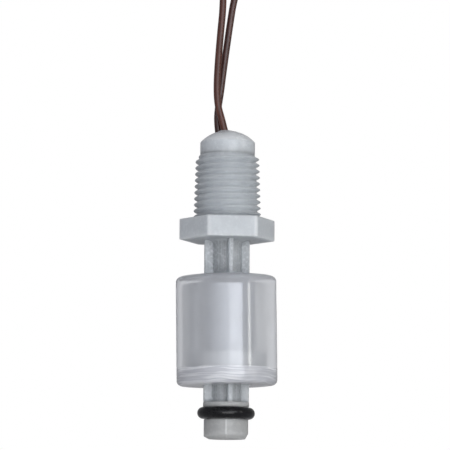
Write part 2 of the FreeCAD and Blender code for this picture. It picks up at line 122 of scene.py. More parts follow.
def grid_mesh(name: str, points: np.ndarray, closed_rows: bool = False, sharp_deg: float = 38.0,
              pale: np.ndarray | None = None) -> bpy.types.Object:
    """Makes an object from a grid of points that closes round in its second direction.

    Quads join each row to the next. Where the rows don't close, the first and the last row are closed
    with a fan of triangles round their mean point. The faces are turned over if the solid's signed
    volume, the sum of its tetrahedra about the origin, is negative.

    Args:
        name: The piece's name.
        points: Array of rows, columns and 3 coordinates.
        closed_rows: Whether the last row joins the first one.
        sharp_deg: Edges that turn by more than this stay sharp.
        pale: Array of rows and columns, kept as the mesh's "pale" values for its material.

    Returns:
        The new object, linked to the scene.
    """
    rows, columns = points.shape[:2]
    index = np.arange(rows * columns).reshape(rows, columns)
    lower = index if closed_rows else index[:-1]
    upper = np.roll(index, -1, axis=0) if closed_rows else index[1:]
    quads = np.stack([lower, np.roll(lower, -1, 1), np.roll(upper, -1, 1), upper], axis=-1).reshape(-1, 4)
    vertices = points.reshape(-1, 3)
    fans = np.zeros((0, 3), int)
    if not closed_rows:
        ends = np.stack([points[0].mean(0), points[-1].mean(0)])
        first, last = rows * columns, rows * columns + 1
        bottom = np.stack([np.roll(index[0], -1), index[0], np.full(columns, first)], axis=-1)
        top = np.stack([index[-1], np.roll(index[-1], -1), np.full(columns, last)], axis=-1)
        fans = np.concatenate([bottom, top])
        vertices = np.concatenate([vertices, ends])
    triangles = np.concatenate([quads[:, [0, 1, 2]], quads[:, [0, 2, 3]], fans])
    a, b, c = (vertices[triangles[:, i]] for i in range(3))
    if (a * np.cross(b, c)).sum() < 0.0:
        quads, fans = quads[:, ::-1], fans[:, ::-1]
    mesh = bpy.data.meshes.new(name)
    mesh.from_pydata(vertices, [], [*quads.tolist(), *fans.tolist()])
    mesh.update()
    mesh.shade_smooth()
    mesh.set_sharp_from_angle(angle=math.radians(sharp_deg))
    if pale is not None:
        values = np.concatenate([pale.ravel(), np.zeros(len(vertices) - pale.size)])
        mesh.attributes.new("pale", "FLOAT", "POINT").data.foreach_set("value", values.astype(np.float32))
    piece = bpy.data.objects.new(name, mesh)
    bpy.context.scene.collection.objects.link(piece)
    return piece


def joined_piece(name: str, parts: list[bpy.types.Object]) -> bpy.types.Object:
    """Puts several closed meshes into one object.

    Args:
        name: The joined piece's name.
        parts: Objects at the origin; they are removed.

    Returns:
        The new object.
    """
    vertices, faces, start = [], [], 0
    for part in parts:
        flat = np.zeros(len(part.data.vertices) * 3, np.float32)
        part.data.vertices.foreach_get("co", flat)
        vertices.append(flat.reshape(-1, 3))
        faces += [[start + i for i in face.vertices] for face in part.data.polygons]
        start += len(part.data.vertices)
        bpy.data.objects.remove(part)
    mesh = bpy.data.meshes.new(name)
    mesh.from_pydata(np.concatenate(vertices), [], faces)
    mesh.shade_smooth()
    mesh.set_sharp_from_angle(angle=math.radians(38.0))
    piece = bpy.data.objects.new(name, mesh)
    bpy.context.scene.collection.objects.link(piece)
    return piece


def round_corner(before: tuple[float, float], corner: tuple[float, float], after: tuple[float, float],
                 radius: float, steps: int = 6) -> np.ndarray:
    """Points of an arc that rounds one corner of a profile.

    The arc starts and ends radius * tan(turn / 2) from the corner, and its points are the corner's
    quadratic blend of those two ends, which is within a percent of a circle for turns up to 90 degrees.

    Args:
        before: The profile's point before the corner.
        corner: The corner itself.
        after: The point after it.
        radius: The arc's radius.
        steps: How many pieces the arc has.

    Returns:
        Array of steps + 1 points.
    """
    here = np.array(corner)
    back, on = np.array(before) - here, np.array(after) - here
    back, on = back / np.linalg.norm(back), on / np.linalg.norm(on)
    turn = math.pi - math.acos(float(np.clip(back @ on, -1.0, 1.0)))
    reach = radius * math.tan(turn / 2.0)
    t = np.linspace(0.0, 1.0, steps + 1)[:, None]
    start, end = here + back * reach, here + on * reach
    weight = math.cos(turn / 2.0)
    share = (1 - t) ** 2 + 2 * weight * t * (1 - t) + t ** 2
    return ((1 - t) ** 2 * start + 2 * weight * t * (1 - t) * here + t ** 2 * end) / share


def profile_line(corners: list[tuple[float, ...]], step: float) -> np.ndarray:
    """Closed (radius, height) line through corners, with rounded corners and even steps between them.

    Args:
        corners: (radius, height) or (radius, height, corner radius), in order round the section.
        step: Greatest distance between two points on the straight stretches.

    Returns:
        Array of points, the last one joining the first.
    """
    count = len(corners)
    flat = [corner[:2] for corner in corners]
    arcs = [
        round_corner(flat[i - 1], flat[i], flat[(i + 1) % count], corners[i][2]) if len(corners[i]) > 2
        else np.array([flat[i]])
        for i in range(count)
    ]
    pieces = []
    for i, arc in enumerate(arcs):
        after = arcs[(i + 1) % count][0]
        parts = max(1, math.ceil(float(np.linalg.norm(after - arc[-1])) / step))
        between = arc[-1] + (after - arc[-1]) * np.linspace(0.0, 1.0, parts, endpoint=False)[1:, None]
        pieces += [arc, between]
    return np.concatenate(pieces)


def lathe(profile: np.ndarray, angles: np.ndarray) -> np.ndarray:
    """Grid of points of a profile turned about Z: radius * cos(angle), radius * sin(angle), height.

    Args:
        profile: Array of (radius, height).
        angles: Angles of the columns, in radians.

    Returns:
        Array of profile points, angles and 3 coordinates.
    """
    radius, height = profile[:, 0, None], profile[:, 1, None]
    return np.stack([radius * np.cos(angles), radius * np.sin(angles), height + 0 * angles], axis=-1)


def even_angles(count: int) -> np.ndarray:
    """Angles of evenly spaced columns round the axis, in radians."""
    return np.linspace(0.0, 2.0 * math.pi, count, endpoint=False)


def tilted(points: np.ndarray, centre: Vector, degrees: float, axis_azimuth: float) -> np.ndarray:
    """Leans points about a level axis through a centre.

    Args:
        points: Array of any shape with 3 coordinates last.
        centre: The point that stays.
        degrees: How far to lean.
        axis_azimuth: Direction of the level axis, in degrees from +X.

    Returns:
        The leaned points.
    """
    turn = math.radians(axis_azimuth)
    axis = Vector((math.cos(turn), math.sin(turn), 0.0))
    matrix = np.array(Matrix.Rotation(math.radians(degrees), 3, axis))
    return (points - np.array(centre)) @ matrix.T + np.array(centre)


# --- Shader helpers ---------------------------------------------------------------------------------
class Graph:
    """Adds nodes to one node tree and links them as they are made."""

    def __init__(self, tree: bpy.types.NodeTree) -> None:
        """Keeps the tree that the nodes go into."""
        self.tree = tree

    def add(self, kind: str, inputs: dict | None = None, **settings: object) -> bpy.types.Node:
        """Adds a node, sets its settings, and sets or links its inputs.

        Args:
            kind: The node's type.
            inputs: By input name or number, a socket to link or a value to set.
            **settings: Attributes of the node, such as operation.

        Returns:
            The new node.
        """
        node = self.tree.nodes.new(kind)
        for name, value in settings.items():
            setattr(node, name, value)
        for name, value in (inputs or {}).items():
            if isinstance(value, bpy.types.NodeSocket):
                self.tree.links.new(value, node.inputs[name])
            else:
                node.inputs[name].default_value = value
        return node

    def feed(self, node: bpy.types.Node, **sources: bpy.types.NodeSocket) -> None:
        """Links sockets to a node's inputs, with _ standing for a space in an input's name."""
        for name, source in sources.items():
            self.tree.links.new(source, node.inputs[name.replace("_", " ")])

    def math(self, operation: str, a: object, b: object = 0.0) -> bpy.types.NodeSocket:
        """Adds a Math node and returns its result."""
        return self.add("ShaderNodeMath", {0: a, 1: b}, operation=operation).outputs[0]

    def ramp(self, value: object, start: float, end: float, low_out: float = 0.0,
             high_out: float = 1.0) -> bpy.types.NodeSocket:
        """Maps a value smoothly from one range to another.

        Args:
            value: Socket or number.
            start: The value that gives low_out.
            end: The value that gives high_out.
            low_out: Result at start and before it.
            high_out: Result at end and past it.

        Returns:
            The mapped value's socket.
        """
        node = self.add("ShaderNodeMapRange", {"Value": value, "From Min": start, "From Max": end,
                                               "To Min": low_out, "To Max": high_out},
                        interpolation_type="SMOOTHSTEP")
        return node.outputs["Result"]

    def bump(self, height: bpy.types.NodeSocket, distance: float,
             strength: float = 0.5) -> bpy.types.NodeSocket:
        """Turns a height into a normal.

        Args:
            height: The height's socket, about 0 to 1.
            distance: How far 1 stands out, in metres.
            strength: Share of the relief that shows.

        Returns:
            The normal's socket.
        """
        return self.add("ShaderNodeBump", {"Strength": strength, "Distance": distance,
                                           "Height": height}).outputs[0]

    def mix_value(self, share: object, a: float, b: float) -> bpy.types.NodeSocket:
        """Mixes two numbers."""
        return self.add("ShaderNodeMix", {0: share, 2: a, 3: b}, data_type="FLOAT").outputs[0]

    def mix(self, share: object, a: object, b: object) -> bpy.types.NodeSocket:
        """Mixes two colours."""
        node = self.add("ShaderNodeMix", {0: share, 6: a, 7: b}, data_type="RGBA")
        return node.outputs[2]


def new_group(name: str, inputs: dict[str, tuple[str, object]], outputs: dict[str, str]) -> tuple:
    """Makes an empty shader node group.

    Args:
        name: The group's name.
        inputs: By name, the socket type and its default.
        outputs: By name, the socket type.

    Returns:
        The group's tree, its Graph, and its input and output nodes.
    """
    tree = bpy.data.node_groups.new(name, "ShaderNodeTree")
    for label, (kind, default) in inputs.items():
        socket = tree.interface.new_socket(label, in_out="INPUT", socket_type=kind)
        if default is not None:
            socket.default_value = default
    for label, kind in outputs.items():
        tree.interface.new_socket(label, in_out="OUTPUT", socket_type=kind)
    graph = Graph(tree)
    return tree, graph, graph.add("NodeGroupInput"), graph.add("NodeGroupOutput")


def cloudy_group() -> bpy.types.NodeTree:
    """Cloudy unevenness of moulded, unpigmented plastic: two colours mixed by soft noise, and its height.

    Returns:
        The group's tree.
    """
    tree, graph, source, sink = new_group(
        "cloudy_plastic",
        {"Vector": ("NodeSocketVector", None), "Scale": ("NodeSocketFloat", 400.0),
         "Contrast": ("NodeSocketFloat", 1.0), "Clear": ("NodeSocketColor", (0.4, 0.4, 0.4, 1.0)),
         "Milky": ("NodeSocketColor", (0.6, 0.6, 0.6, 1.0))},
        {"Color": "NodeSocketColor", "Height": "NodeSocketFloat"})
    broad = graph.add("ShaderNodeTexNoise", {"Vector": source.outputs["Vector"],
                                             "Scale": source.outputs["Scale"], "Detail": 4.0,
                                             "Roughness": 0.6})
    spread = {0: graph.math("SUBTRACT", broad.outputs[0], 0.5), 1: source.outputs["Contrast"], 2: 0.5}
    share = graph.add("ShaderNodeMath", spread, operation="MULTIPLY_ADD", use_clamp=True).outputs[0]
    graph.feed(sink, Color=graph.mix(share, source.outputs["Clear"], source.outputs["Milky"]),
               Height=broad.outputs[0])
    return tree


def streak_group() -> bpy.types.NodeTree:
    """Fine lines along Z: noise read from the angle about Z, with height squeezed almost flat.

    Returns:
        The group's tree.
    """
    tree, graph, source, sink = new_group(
        "upright_streaks",
        {"Vector": ("NodeSocketVector", None), "Fineness": ("NodeSocketFloat", 12.0),
         "Drift": ("NodeSocketFloat", 30.0)},
        {"Mask": "NodeSocketFloat"})
    split = graph.add("ShaderNodeSeparateXYZ", {0: source.outputs["Vector"]})
    squares = [graph.math("MULTIPLY", split.outputs[axis], split.outputs[axis]) for axis in (0, 1)]
    radius = graph.math("MAXIMUM", graph.math("SQRT", graph.math("ADD", *squares)), 1e-5)
    around = [graph.math("MULTIPLY", graph.math("DIVIDE", split.outputs[axis], radius),
                         source.outputs["Fineness"]) for axis in (0, 1)]
    place = graph.add("ShaderNodeCombineXYZ", {
        0: around[0], 1: around[1], 2: graph.math("MULTIPLY", split.outputs[2], source.outputs["Drift"])})
    noise = graph.add("ShaderNodeTexNoise", {"Vector": place.outputs[0], "Scale": 1.0, "Detail": 3.0,
                                             "Roughness": 0.55})
    graph.feed(sink, Mask=noise.outputs[0])
    return tree


def swirl_group() -> bpy.types.NodeTree:
    """Marks of a turning weld: noise stretched round Z, bent by broader noise so that the lines cross.

    Returns:
        The group's tree.
    """
    tree, graph, source, sink = new_group(
        "weld_swirl",
        {"Vector": ("NodeSocketVector", None), "Across": ("NodeSocketFloat", 160.0),
         "Lines": ("NodeSocketFloat", 3800.0), "Waver": ("NodeSocketFloat", 0.88 * MM)},
        {"Mask": "NodeSocketFloat"})
    vector = source.outputs["Vector"]
    broad = graph.add("ShaderNodeTexNoise", {"Vector": vector, "Scale": 240.0, "Detail": 1.0})
    split = graph.add("ShaderNodeSeparateXYZ", {0: vector})
    bent = graph.math("MULTIPLY", graph.math("SUBTRACT", broad.outputs[0], 0.5), source.outputs["Waver"])
    place = graph.add("ShaderNodeCombineXYZ", {
        0: graph.math("MULTIPLY", split.outputs[0], source.outputs["Across"]),
        1: graph.math("MULTIPLY", split.outputs[1], source.outputs["Across"]),
        2: graph.math("MULTIPLY", graph.math("ADD", split.outputs[2], bent), source.outputs["Lines"])})
    noise = graph.add("ShaderNodeTexNoise", {"Vector": place.outputs[0], "Scale": 1.0, "Detail": 2.0})
    graph.feed(sink, Mask=noise.outputs[0])
    return tree


@dataclass(frozen=True)
class Groups:
    """The shared shader node groups, each built once."""

    cloudy: bpy.types.NodeTree
    streaks: bpy.types.NodeTree
    swirl: bpy.types.NodeTree


def new_material(name: str) -> tuple[bpy.types.Material, Graph, bpy.types.Node, bpy.types.NodeSocket]:
    """Starts a material with a Principled shader and centred Object coordinates.

    Args:
        name: The material's name.

    Returns:
        The material, its Graph, its Principled node and the coordinates' socket.
    """
    material = bpy.data.materials.new(name)
    material.use_nodes = True
    graph = Graph(material.node_tree)
    shader = material.node_tree.nodes["Principled BSDF"]
    coordinates = graph.add("ShaderNodeTexCoord")
    mapping = graph.add("ShaderNodeMapping", {"Vector": coordinates.outputs["Object"]})
    return material, graph, shader, mapping.outputs[0]


def set_plain(shader: bpy.types.Node, **values: float) -> None:
    """Sets uniform values on a Principled shader's own sockets, with _ standing for a space."""
    for name, value in values.items():
        shader.inputs[name.replace("_", " ")].default_value = value


def opaque(colour: Colour) -> tuple[float, float, float, float]:
    """The colour with an alpha of 1."""
    return (*colour, 1.0)


# --- Finishes ---------------------------------------------------------------------------------------
@dataclass(frozen=True)
class MouldedPlastic:
    """Unpigmented moulded plastic: cloudy, slightly streaked, with light scattered below its skin."""

    name: str
    clear: Colour
    milky: Colour
    roughness: float = 0.36
    scatter: float = 1.0
    scatter_depth: float = 3.5 * MM
    gloss: float = 0.5
    cloud_scale: float = 420.0
    contrast: float = 1.6
    streaks: float = 0.3
    streaks_from: float = -27.6 * MM
    streaks_to: float = -3.3 * MM
    blend: float = 0.3 * MM
    mottle: float = 0.8
    mottle_scale: float = 2300.0
    foot: float = -27.8 * MM
    foot_tone: Colour = (0.80, 0.76, 0.72)
    # The colour that the "pale" values mix in: paler marks, and painted light on the thread's roots and the
    # dome's top.
    worn: Colour = (0.92, 0.93, 0.93)
    # Painted shade on the thread's crests, mixed in where the "pale" values are below 0.
    painted_crest_shade: Colour = (0.10, 0.11, 0.12)
    streak_fineness: float = 9.0
    relief: float = 0.03 * MM

    def build(self, groups: Groups) -> bpy.types.Material:
        """Builds the material.

        Args:
            groups: The shared node groups.

        Returns:
            The finished material.
        """
        material, graph, shader, place = new_material(self.name)
        cloud = graph.add("ShaderNodeGroup", {
            "Vector": place, "Scale": self.cloud_scale, "Contrast": self.contrast,
            "Clear": opaque(self.clear), "Milky": opaque(self.milky)}, node_tree=groups.cloudy)
        streak = graph.add("ShaderNodeGroup", {"Vector": place, "Fineness": self.streak_fineness},
                           node_tree=groups.streaks)
        height = graph.add("ShaderNodeSeparateXYZ", {0: place}).outputs[2]
        below = graph.ramp(height, self.streaks_to, self.streaks_to - self.blend, 0.0, self.streaks)
        above = graph.ramp(height, self.streaks_from, self.streaks_from + self.blend)
        drawn = graph.math("MULTIPLY", below, above)
        dark = graph.math("SUBTRACT", 1.0, graph.math("MULTIPLY", drawn,
                                                      graph.ramp(streak.outputs[0], 0.65, 0.35)))
        tone = graph.add("ShaderNodeCombineColor", {0: dark, 1: dark, 2: dark})
        colour = graph.add("ShaderNodeMix", {0: 1.0, 6: cloud.outputs["Color"], 7: tone.outputs[0]},
                           data_type="RGBA", blend_type="MULTIPLY")
        fine = graph.add("ShaderNodeTexNoise", {"Vector": place, "Scale": self.mottle_scale, "Detail": 2.0})
        specks = graph.ramp(fine.outputs[0], 0.45, 0.7, 0.0, self.mottle)
        mottled = graph.mix(specks, colour.outputs[2], opaque(self.milky))
        low_part = graph.mix(graph.ramp(height, self.foot + self.blend, self.foot), (1.0, 1.0, 1.0, 1.0),
                             opaque(self.foot_tone))
        toned = graph.add("ShaderNodeMix", {0: 1.0, 6: mottled, 7: low_part}, data_type="RGBA",
                          blend_type="MULTIPLY")
        # The "pale" values mix in the worn colour, which is painted light on the thread and the dome; below 0
        # they mix in painted shade.
        marks = graph.add("ShaderNodeAttribute", attribute_name="pale").outputs["Fac"]
        painted_crest_shade = graph.mix(graph.math("MULTIPLY", marks, -1.0), toned.outputs[2], opaque(self.painted_crest_shade))
        grain = graph.math("ADD", cloud.outputs["Height"], graph.math("MULTIPLY", fine.outputs[0], 0.5))
        gloss = graph.ramp(cloud.outputs["Height"], 0.3, 0.7, self.roughness - 0.06, self.roughness + 0.08)
        graph.feed(shader, Base_Color=graph.mix(marks, painted_crest_shade, opaque(self.worn)),
                   Normal=graph.bump(grain, self.relief), Roughness=gloss)
        set_plain(shader, Subsurface_Weight=self.scatter, Subsurface_Scale=self.scatter_depth, IOR=1.49,
                  Specular_IOR_Level=self.gloss)
        shader.inputs["Subsurface Radius"].default_value = (1.0, 1.0, 1.0)
        return material


@dataclass(frozen=True)
class MilkyPlastic:
    """Thin unpigmented plastic that light passes through, as in the float's walls.

    It can carry painted shade that darkens its -X side, and it can carry the marks of the weld below a
    height, with a painted glint along their upper edge.
    """

    name: str
    clear: Colour
    milky: Colour
    see_through: float
    cloud_scale: float = 260.0
    roughness: float = 0.3
    skin: float = 0.15
    skin_roughness: float = 0.2
    skin_index: float = 1.5
    index: float = 1.06
    weld_below: float | None = None
    weld_waver: float = 1.2 * MM
    weld_fade: tuple[float, float] = (0.8 * MM, 0.4 * MM)
    weld_share: float = 0.85
    weld_glint: tuple[float, float] = (0.3, 3.6)
    weld_ridges: float = 7.0
    weld_dark: Colour = (0.56, 0.57, 0.61)
    weld_pale: Colour = (0.84, 0.85, 0.88)
    weld_painted_glint: Colour = (0.98, 0.98, 1.0)
    painted_side_shade: Colour | None = None
    painted_shade_from: float = -3.0 * MM
    painted_shade_to: float = -5.4 * MM
    relief: float = 0.015 * MM

    def build(self, groups: Groups) -> bpy.types.Material:
        """Builds the material.

        Args:
            groups: The shared node groups.

        Returns:
            The finished material.
        """
        material, graph, shader, place = new_material(self.name)
        cloud = graph.add("ShaderNodeGroup", {
            "Vector": place, "Scale": self.cloud_scale, "Clear": opaque(self.clear),
            "Milky": opaque(self.milky)}, node_tree=groups.cloudy)
        height, colour = cloud.outputs["Height"], cloud.outputs["Color"]
        split = graph.add("ShaderNodeSeparateXYZ", {0: place})
        if self.weld_below is not None:
            lines = graph.add("ShaderNodeGroup", {"Vector": place}, node_tree=groups.swirl).outputs[0]
            wavy = graph.math("ADD", split.outputs[2], graph.math("MULTIPLY", lines, self.weld_waver))
            zone = graph.ramp(wavy, *(self.weld_below + fade for fade in self.weld_fade))
            marks = graph.mix(graph.ramp(lines, 0.44, 0.60), opaque(self.weld_dark), opaque(self.weld_pale))
            colour = graph.mix(graph.math("MULTIPLY", zone, self.weld_share), colour, marks)
            # Painted glint: a near-white band along the upper edge of the weld's marks.
            glint = graph.math("MULTIPLY", zone, graph.math("SUBTRACT", 1.0, zone))
            glint = graph.math("MULTIPLY", glint, graph.ramp(cloud.outputs["Height"], 0.4, 0.6,
                                                             *self.weld_glint))
            colour = graph.mix(glint, colour, opaque(self.weld_painted_glint))
            ridges = graph.math("MULTIPLY", lines, self.weld_ridges)
            height = graph.math("ADD", height, graph.math("MULTIPLY", zone, ridges))
            graph.feed(shader, Coat_Weight=graph.mix_value(zone, self.skin, 1.0))
        # Painted shade: the colour darkens towards -X.
        if self.painted_side_shade is not None:
            side = graph.ramp(split.outputs[0], self.painted_shade_from, self.painted_shade_to)
            colour = graph.mix(side, colour, opaque(self.painted_side_shade))
        graph.feed(shader, Base_Color=colour, Normal=graph.bump(height, self.relief))
        set_plain(shader, Roughness=self.roughness, IOR=self.index, Transmission_Weight=self.see_through,
                  Coat_Weight=self.skin, Coat_Roughness=self.skin_roughness, Coat_IOR=self.skin_index)
        return material


@dataclass(frozen=True)
class WireInsulation:
    """Extruded insulation: fine lines along it, glossy enough to show the room's light as a streak."""

    name: str
    colour: Colour
    pale: Colour
    roughness: float = 0.3
    relief: float = 0.02 * MM
    fineness: tuple[float, float, float] = (4200.0, 4200.0, 90.0)

    def build(self) -> bpy.types.Material:
        """Builds the material.

        Returns:
            The finished material.
        """
        material, graph, shader, place = new_material(self.name)
        squeezed = graph.add("ShaderNodeMapping", {"Vector": place, "Scale": self.fineness})
        noise = graph.add("ShaderNodeTexNoise", {"Vector": squeezed.outputs[0], "Scale": 1.0, "Detail": 3.0})
        share = graph.ramp(noise.outputs[0], 0.35, 0.72)
        graph.feed(shader, Base_Color=graph.mix(share, opaque(self.colour), opaque(self.pale)),
                   Normal=graph.bump(noise.outputs[0], self.relief, 0.4))
        set_plain(shader, Roughness=self.roughness, IOR=1.48)
        return material


@dataclass(frozen=True)
class GrainedFinish:
    """A plain solid finish with a fine grain: rubber, metal, ferrite, sleeve, tie or glass."""

    name: str
    colour: Colour
    pale: Colour
    roughness: float
    grain: float = 1500.0
    relief: float = 0.01 * MM
    metallic: float = 0.0
    see_through: float = 0.0
    index: float = 1.5

    def build(self) -> bpy.types.Material:
        """Builds the material.

        Returns:
            The finished material.
        """
        material, graph, shader, place = new_material(self.name)
        noise = graph.add("ShaderNodeTexNoise", {"Vector": place, "Scale": self.grain, "Detail": 4.0})
        share = graph.ramp(noise.outputs[0], 0.3, 0.7)
        graph.feed(shader, Base_Color=graph.mix(share, opaque(self.colour), opaque(self.pale)),
                   Normal=graph.bump(noise.outputs[0], self.relief))
        set_plain(shader, Roughness=self.roughness, Metallic=self.metallic,
                  Transmission_Weight=self.see_through, IOR=self.index)
        return material


# --- Body moulding ----------------------------------------------------------------------------------
@dataclass
class BodyMoulding:
    """Collar, pipe thread, hexagon, ribbed stem, ring groove and tip: one closed moulding with its bore.

    Each row of the grid is one closed section, a radius and a height for every angle about Z.
    """

    hex_flats: float = 12.7 * MM
    hex_height: float = 3.175 * MM
    hex_edge: float = 0.16 * MM
    hex_softness: float = 130.0
    thread_length: float = 9.5 * MM
    thread_base_r: float = 5.15 * MM
    thread_taper: float = 1.0 / 32.0
    thread_pitch: float = 0.9407 * MM
    thread_depth: float = 0.55 * MM
    thread_start: float = 9.29 * MM
    thread_start_deg: float = -7.5
    thread_ease: float = 0.5
    flare: float = 1.0 * MM
    collar_r: float = 4.15 * MM
    core_r: float = 2.15 * MM
    rib_r: float = 3.475 * MM
    rib_width: float = 0.74 * MM
    rib_wear: float = 0.04 * MM
    rib_count: int = 4
    rib_turn_deg: float = 3.5
    root_fillet: float = 0.9 * MM
    disc_height: float = 0.65 * MM
    groove_r: float = 2.625 * MM
    groove_width: float = 1.9 * MM
    tip_r: float = 3.35 * MM
    tip_length: float = 2.95 * MM
    parting_deg: float = -97.5
    bore_r: float = 1.6 * MM
    neck_bore_r: float = 3.1 * MM
    neck_floor: float = 2.0 * MM
    tip_floor: float = 1.5 * MM
    columns: np.ndarray = field(default_factory=lambda: np.zeros(0))

    def __post_init__(self) -> None:
        """Works out the columns: close together at the ribs' sides and the hexagon's corners."""
        side = np.radians(np.concatenate([
            np.linspace(-45.0, -14.0, 15), np.linspace(-12.5, -4.0, 14), np.linspace(-2.8, 2.8, 5),
            np.linspace(4.0, 12.5, 14), np.linspace(14.0, 43.0, 14)]))
        quarter = 2.0 * math.pi / self.rib_count
        turns = math.radians(self.rib_turn_deg) + quarter * np.arange(self.rib_count)
        self.columns = (turns[:, None] + side[None, :]).ravel()
        self.tip_z = low("switch_body").z
        self.neck_z = high("switch_body").z
        self.hex_z = -self.hex_height

    def rib_outline(self, core: float) -> np.ndarray:
        """Radius of the ribbed stem at each column.

        A rib is a strip of constant width, so its side lies at half width / |sin of the angle from its
        middle|; the stem is the greater of the core and the ribs, cut off at the ribs' outer radius.

        Args:
            core: Radius of the core between the ribs.

        Returns:
            The radius at each column.
        """
        quarter = 2.0 * math.pi / self.rib_count
        from_rib = (self.columns - math.radians(self.rib_turn_deg) + quarter / 2) % quarter - quarter / 2
        strip = self.rib_width / 2.0 / np.maximum(np.abs(np.sin(from_rib)), 1e-6)
        rib = (strip ** -14.0 + self.rib_r ** -14.0) ** (-1.0 / 14.0)
        return (rib ** 18.0 + core ** 18.0) ** (1.0 / 18.0)

    def hexagon_outline(self, inset: float) -> np.ndarray:
        """Radius of the hexagon at each column, with soft corners.

        Each wall lies at flat distance / cosine of the angle from its middle; the softened least of the
        six is taken through a high power, which rounds the corners a little.

        Args:
            inset: How far the walls are drawn in.

        Returns:
            The radius at each column.
        """
        walls = np.radians(30.0 + 60.0 * np.arange(6))
        facing = np.clip(np.cos(self.columns[None, :] - walls[:, None]), 1e-9, 1.0)
        reach = (facing ** self.hex_softness).sum(0) ** (-1.0 / self.hex_softness)
        return (self.hex_flats / 2.0 - inset) * reach

    def thread_radius(self, height: np.ndarray) -> np.ndarray:
        """Radius of the threaded neck at each height and column.

        The crest climbs one pitch for each turn. Across it the flank falls as a raised cosine to a
        power, which gives a narrow rounded crest and a wider root, on a cone that widens downwards.

        Args:
            height: Heights as a column array.

        Returns:
            Array of heights and columns.
        """
        climb = self.thread_pitch * (self.columns - math.radians(self.thread_start_deg)) / (2.0 * math.pi)
        phase = (height - self.thread_start - climb[None, :]) / self.thread_pitch
        tooth = (0.5 + 0.5 * np.cos(2.0 * math.pi * phase)) ** 1.25
        uneven = 1.0 + 0.06 * ripple(self.columns[None, :], height, 3)
        crest = self.thread_base_r - height * self.thread_taper
        root = crest - self.thread_depth * uneven
        flare = np.clip(1.0 - height / self.flare, 0.0, 1.0) ** 2
        thread = root + (crest - root) * np.maximum(tooth, flare)
        fade = smooth_step(self.thread_length + 0.55 * MM, self.thread_length - 0.35 * MM, height)
        return self.collar_r + (thread - self.collar_r) * fade

    def tip_rows(self) -> list[Row]:
        """Rows from the tip's flat end up to the groove: an uneven chamfer, the side and its parting line.

        The chamfer's size follows the cosine of the angle, and the parting line is a bell curve over the
        angle on two opposite sides.

        Returns:
            The rows, from below.
        """
        lean = np.cos(self.columns - math.radians(172.5))
        across = (0.64 + 0.15 * lean) * MM
        up = (0.62 - 0.21 * lean) * MM
        parting = np.zeros_like(self.columns)
        for turn in (0.0, 180.0):
            away = (self.columns - math.radians(self.parting_deg + turn) + math.pi) % (2 * math.pi) - math.pi
            parting = parting + np.exp(-(away / math.radians(2.6)) ** 2)
        side = self.tip_r + 0.08 * MM * parting
        rows = [(side * share, self.tip_z + 0 * side) for share in (0.1, 0.4, 0.7)]
        rows.append((side - across * 1.08, self.tip_z + 0 * side))
        rows.append((side - across * 0.9, self.tip_z + 0.05 * up))
        rows.append((side - across * 0.08, self.tip_z + 0.9 * up))
        rows.append((side, self.tip_z + 1.1 * up))
        groove_z = self.tip_z + self.tip_length
        for share in np.linspace(0.25, 1.0, 6):
            start = self.tip_z + 1.1 * up
            rows.append((side + 0 * share, start + (groove_z - 0.1 * MM - start) * share))
        rows.append((side - 0.03 * MM, groove_z - 0.02 * MM + 0 * side))
        rows.append((side - 0.12 * MM, groove_z + 0 * side))
        return rows

    def level_rows(self, *corners: tuple[float, float]) -> list[Row]:
        """Rows that keep one radius and one height all round, from (radius, height) corners."""
        flat = np.ones_like(self.columns)
        return [(flat * radius, flat * height) for radius, height in corners]

    def groove_rows(self) -> list[Row]:
        """Rows of the groove and of the disc above it that ends the ribs.

        Returns:
            The rows, from below.
        """
        bottom = self.tip_z + self.tip_length
        top = bottom + self.groove_width
        end = top + self.disc_height
        soft, worn = 0.12 * MM, self.rib_wear
        return self.level_rows(
            (self.groove_r + soft, bottom), (self.groove_r, bottom + soft), (self.groove_r, top - soft),
            (self.groove_r + soft, top), (self.rib_r - worn, top), (self.rib_r, top + worn),
            (self.rib_r, end - worn), (self.rib_r - worn, end))

    def stem_rows(self) -> list[Row]:
        """Rows of the ribbed stem up to the hexagon, where the core spreads along a quarter circle.

        Returns:
            The rows, from below.
        """
        start = self.tip_z + self.tip_length + self.groove_width + self.disc_height
        flat = np.ones_like(self.columns)
        outline = self.rib_outline(self.core_r)
        rows = [(np.minimum(outline, self.rib_r - self.rib_wear), flat * start)]
        for height in np.linspace(start, self.hex_z - self.root_fillet, 44)[1:]:
            rows.append((outline, flat * height))
        for turn in np.radians(np.linspace(9.0, 88.0, 10)):
            core = self.core_r + self.root_fillet * (1.0 - math.cos(turn))
            rows.append((self.rib_outline(core), flat * (self.hex_z - self.root_fillet
                                                        + self.root_fillet * math.sin(turn))))
        return rows

    def hexagon_rows(self) -> list[Row]:
        """Rows across the hexagon's underside, up its flats and back over its top to the thread.

        Its upper and lower edges are quarter circles.

        Returns:
            The rows, in that order.
        """
        flat = np.ones_like(self.columns)
        inner = self.rib_outline(self.core_r + self.root_fillet)
        under = self.hexagon_outline(self.hex_edge)
        rows = [(inner + (under - inner) * share, flat * self.hex_z) for share in (0.03, 0.35, 0.7, 1.0)]
        for turn in np.radians((22.5, 45.0, 67.5, 90.0)):
            rows.append((self.hexagon_outline(self.hex_edge * (1.0 - math.sin(turn))),
                         flat * (self.hex_z + self.hex_edge * (1.0 - math.cos(turn)))))
        for share in np.linspace(0.0, 1.0, 9)[1:]:
            rows.append((self.hexagon_outline(0.0),
                         flat * (self.hex_z + self.hex_edge) * (1.0 - share) - flat * self.hex_edge * share))
        for turn in np.radians((22.5, 45.0, 67.5, 90.0)):
            rows.append((self.hexagon_outline(self.hex_edge * (1.0 - math.cos(turn))),
                         flat * self.hex_edge * (math.sin(turn) - 1.0)))
        outer = self.hexagon_outline(self.hex_edge)
        neck = self.thread_radius(np.zeros((1, 1)))[0]
        rows += [(outer + (neck - outer) * share, flat * 0.0) for share in (0.3, 0.65, 0.97)]
        return rows

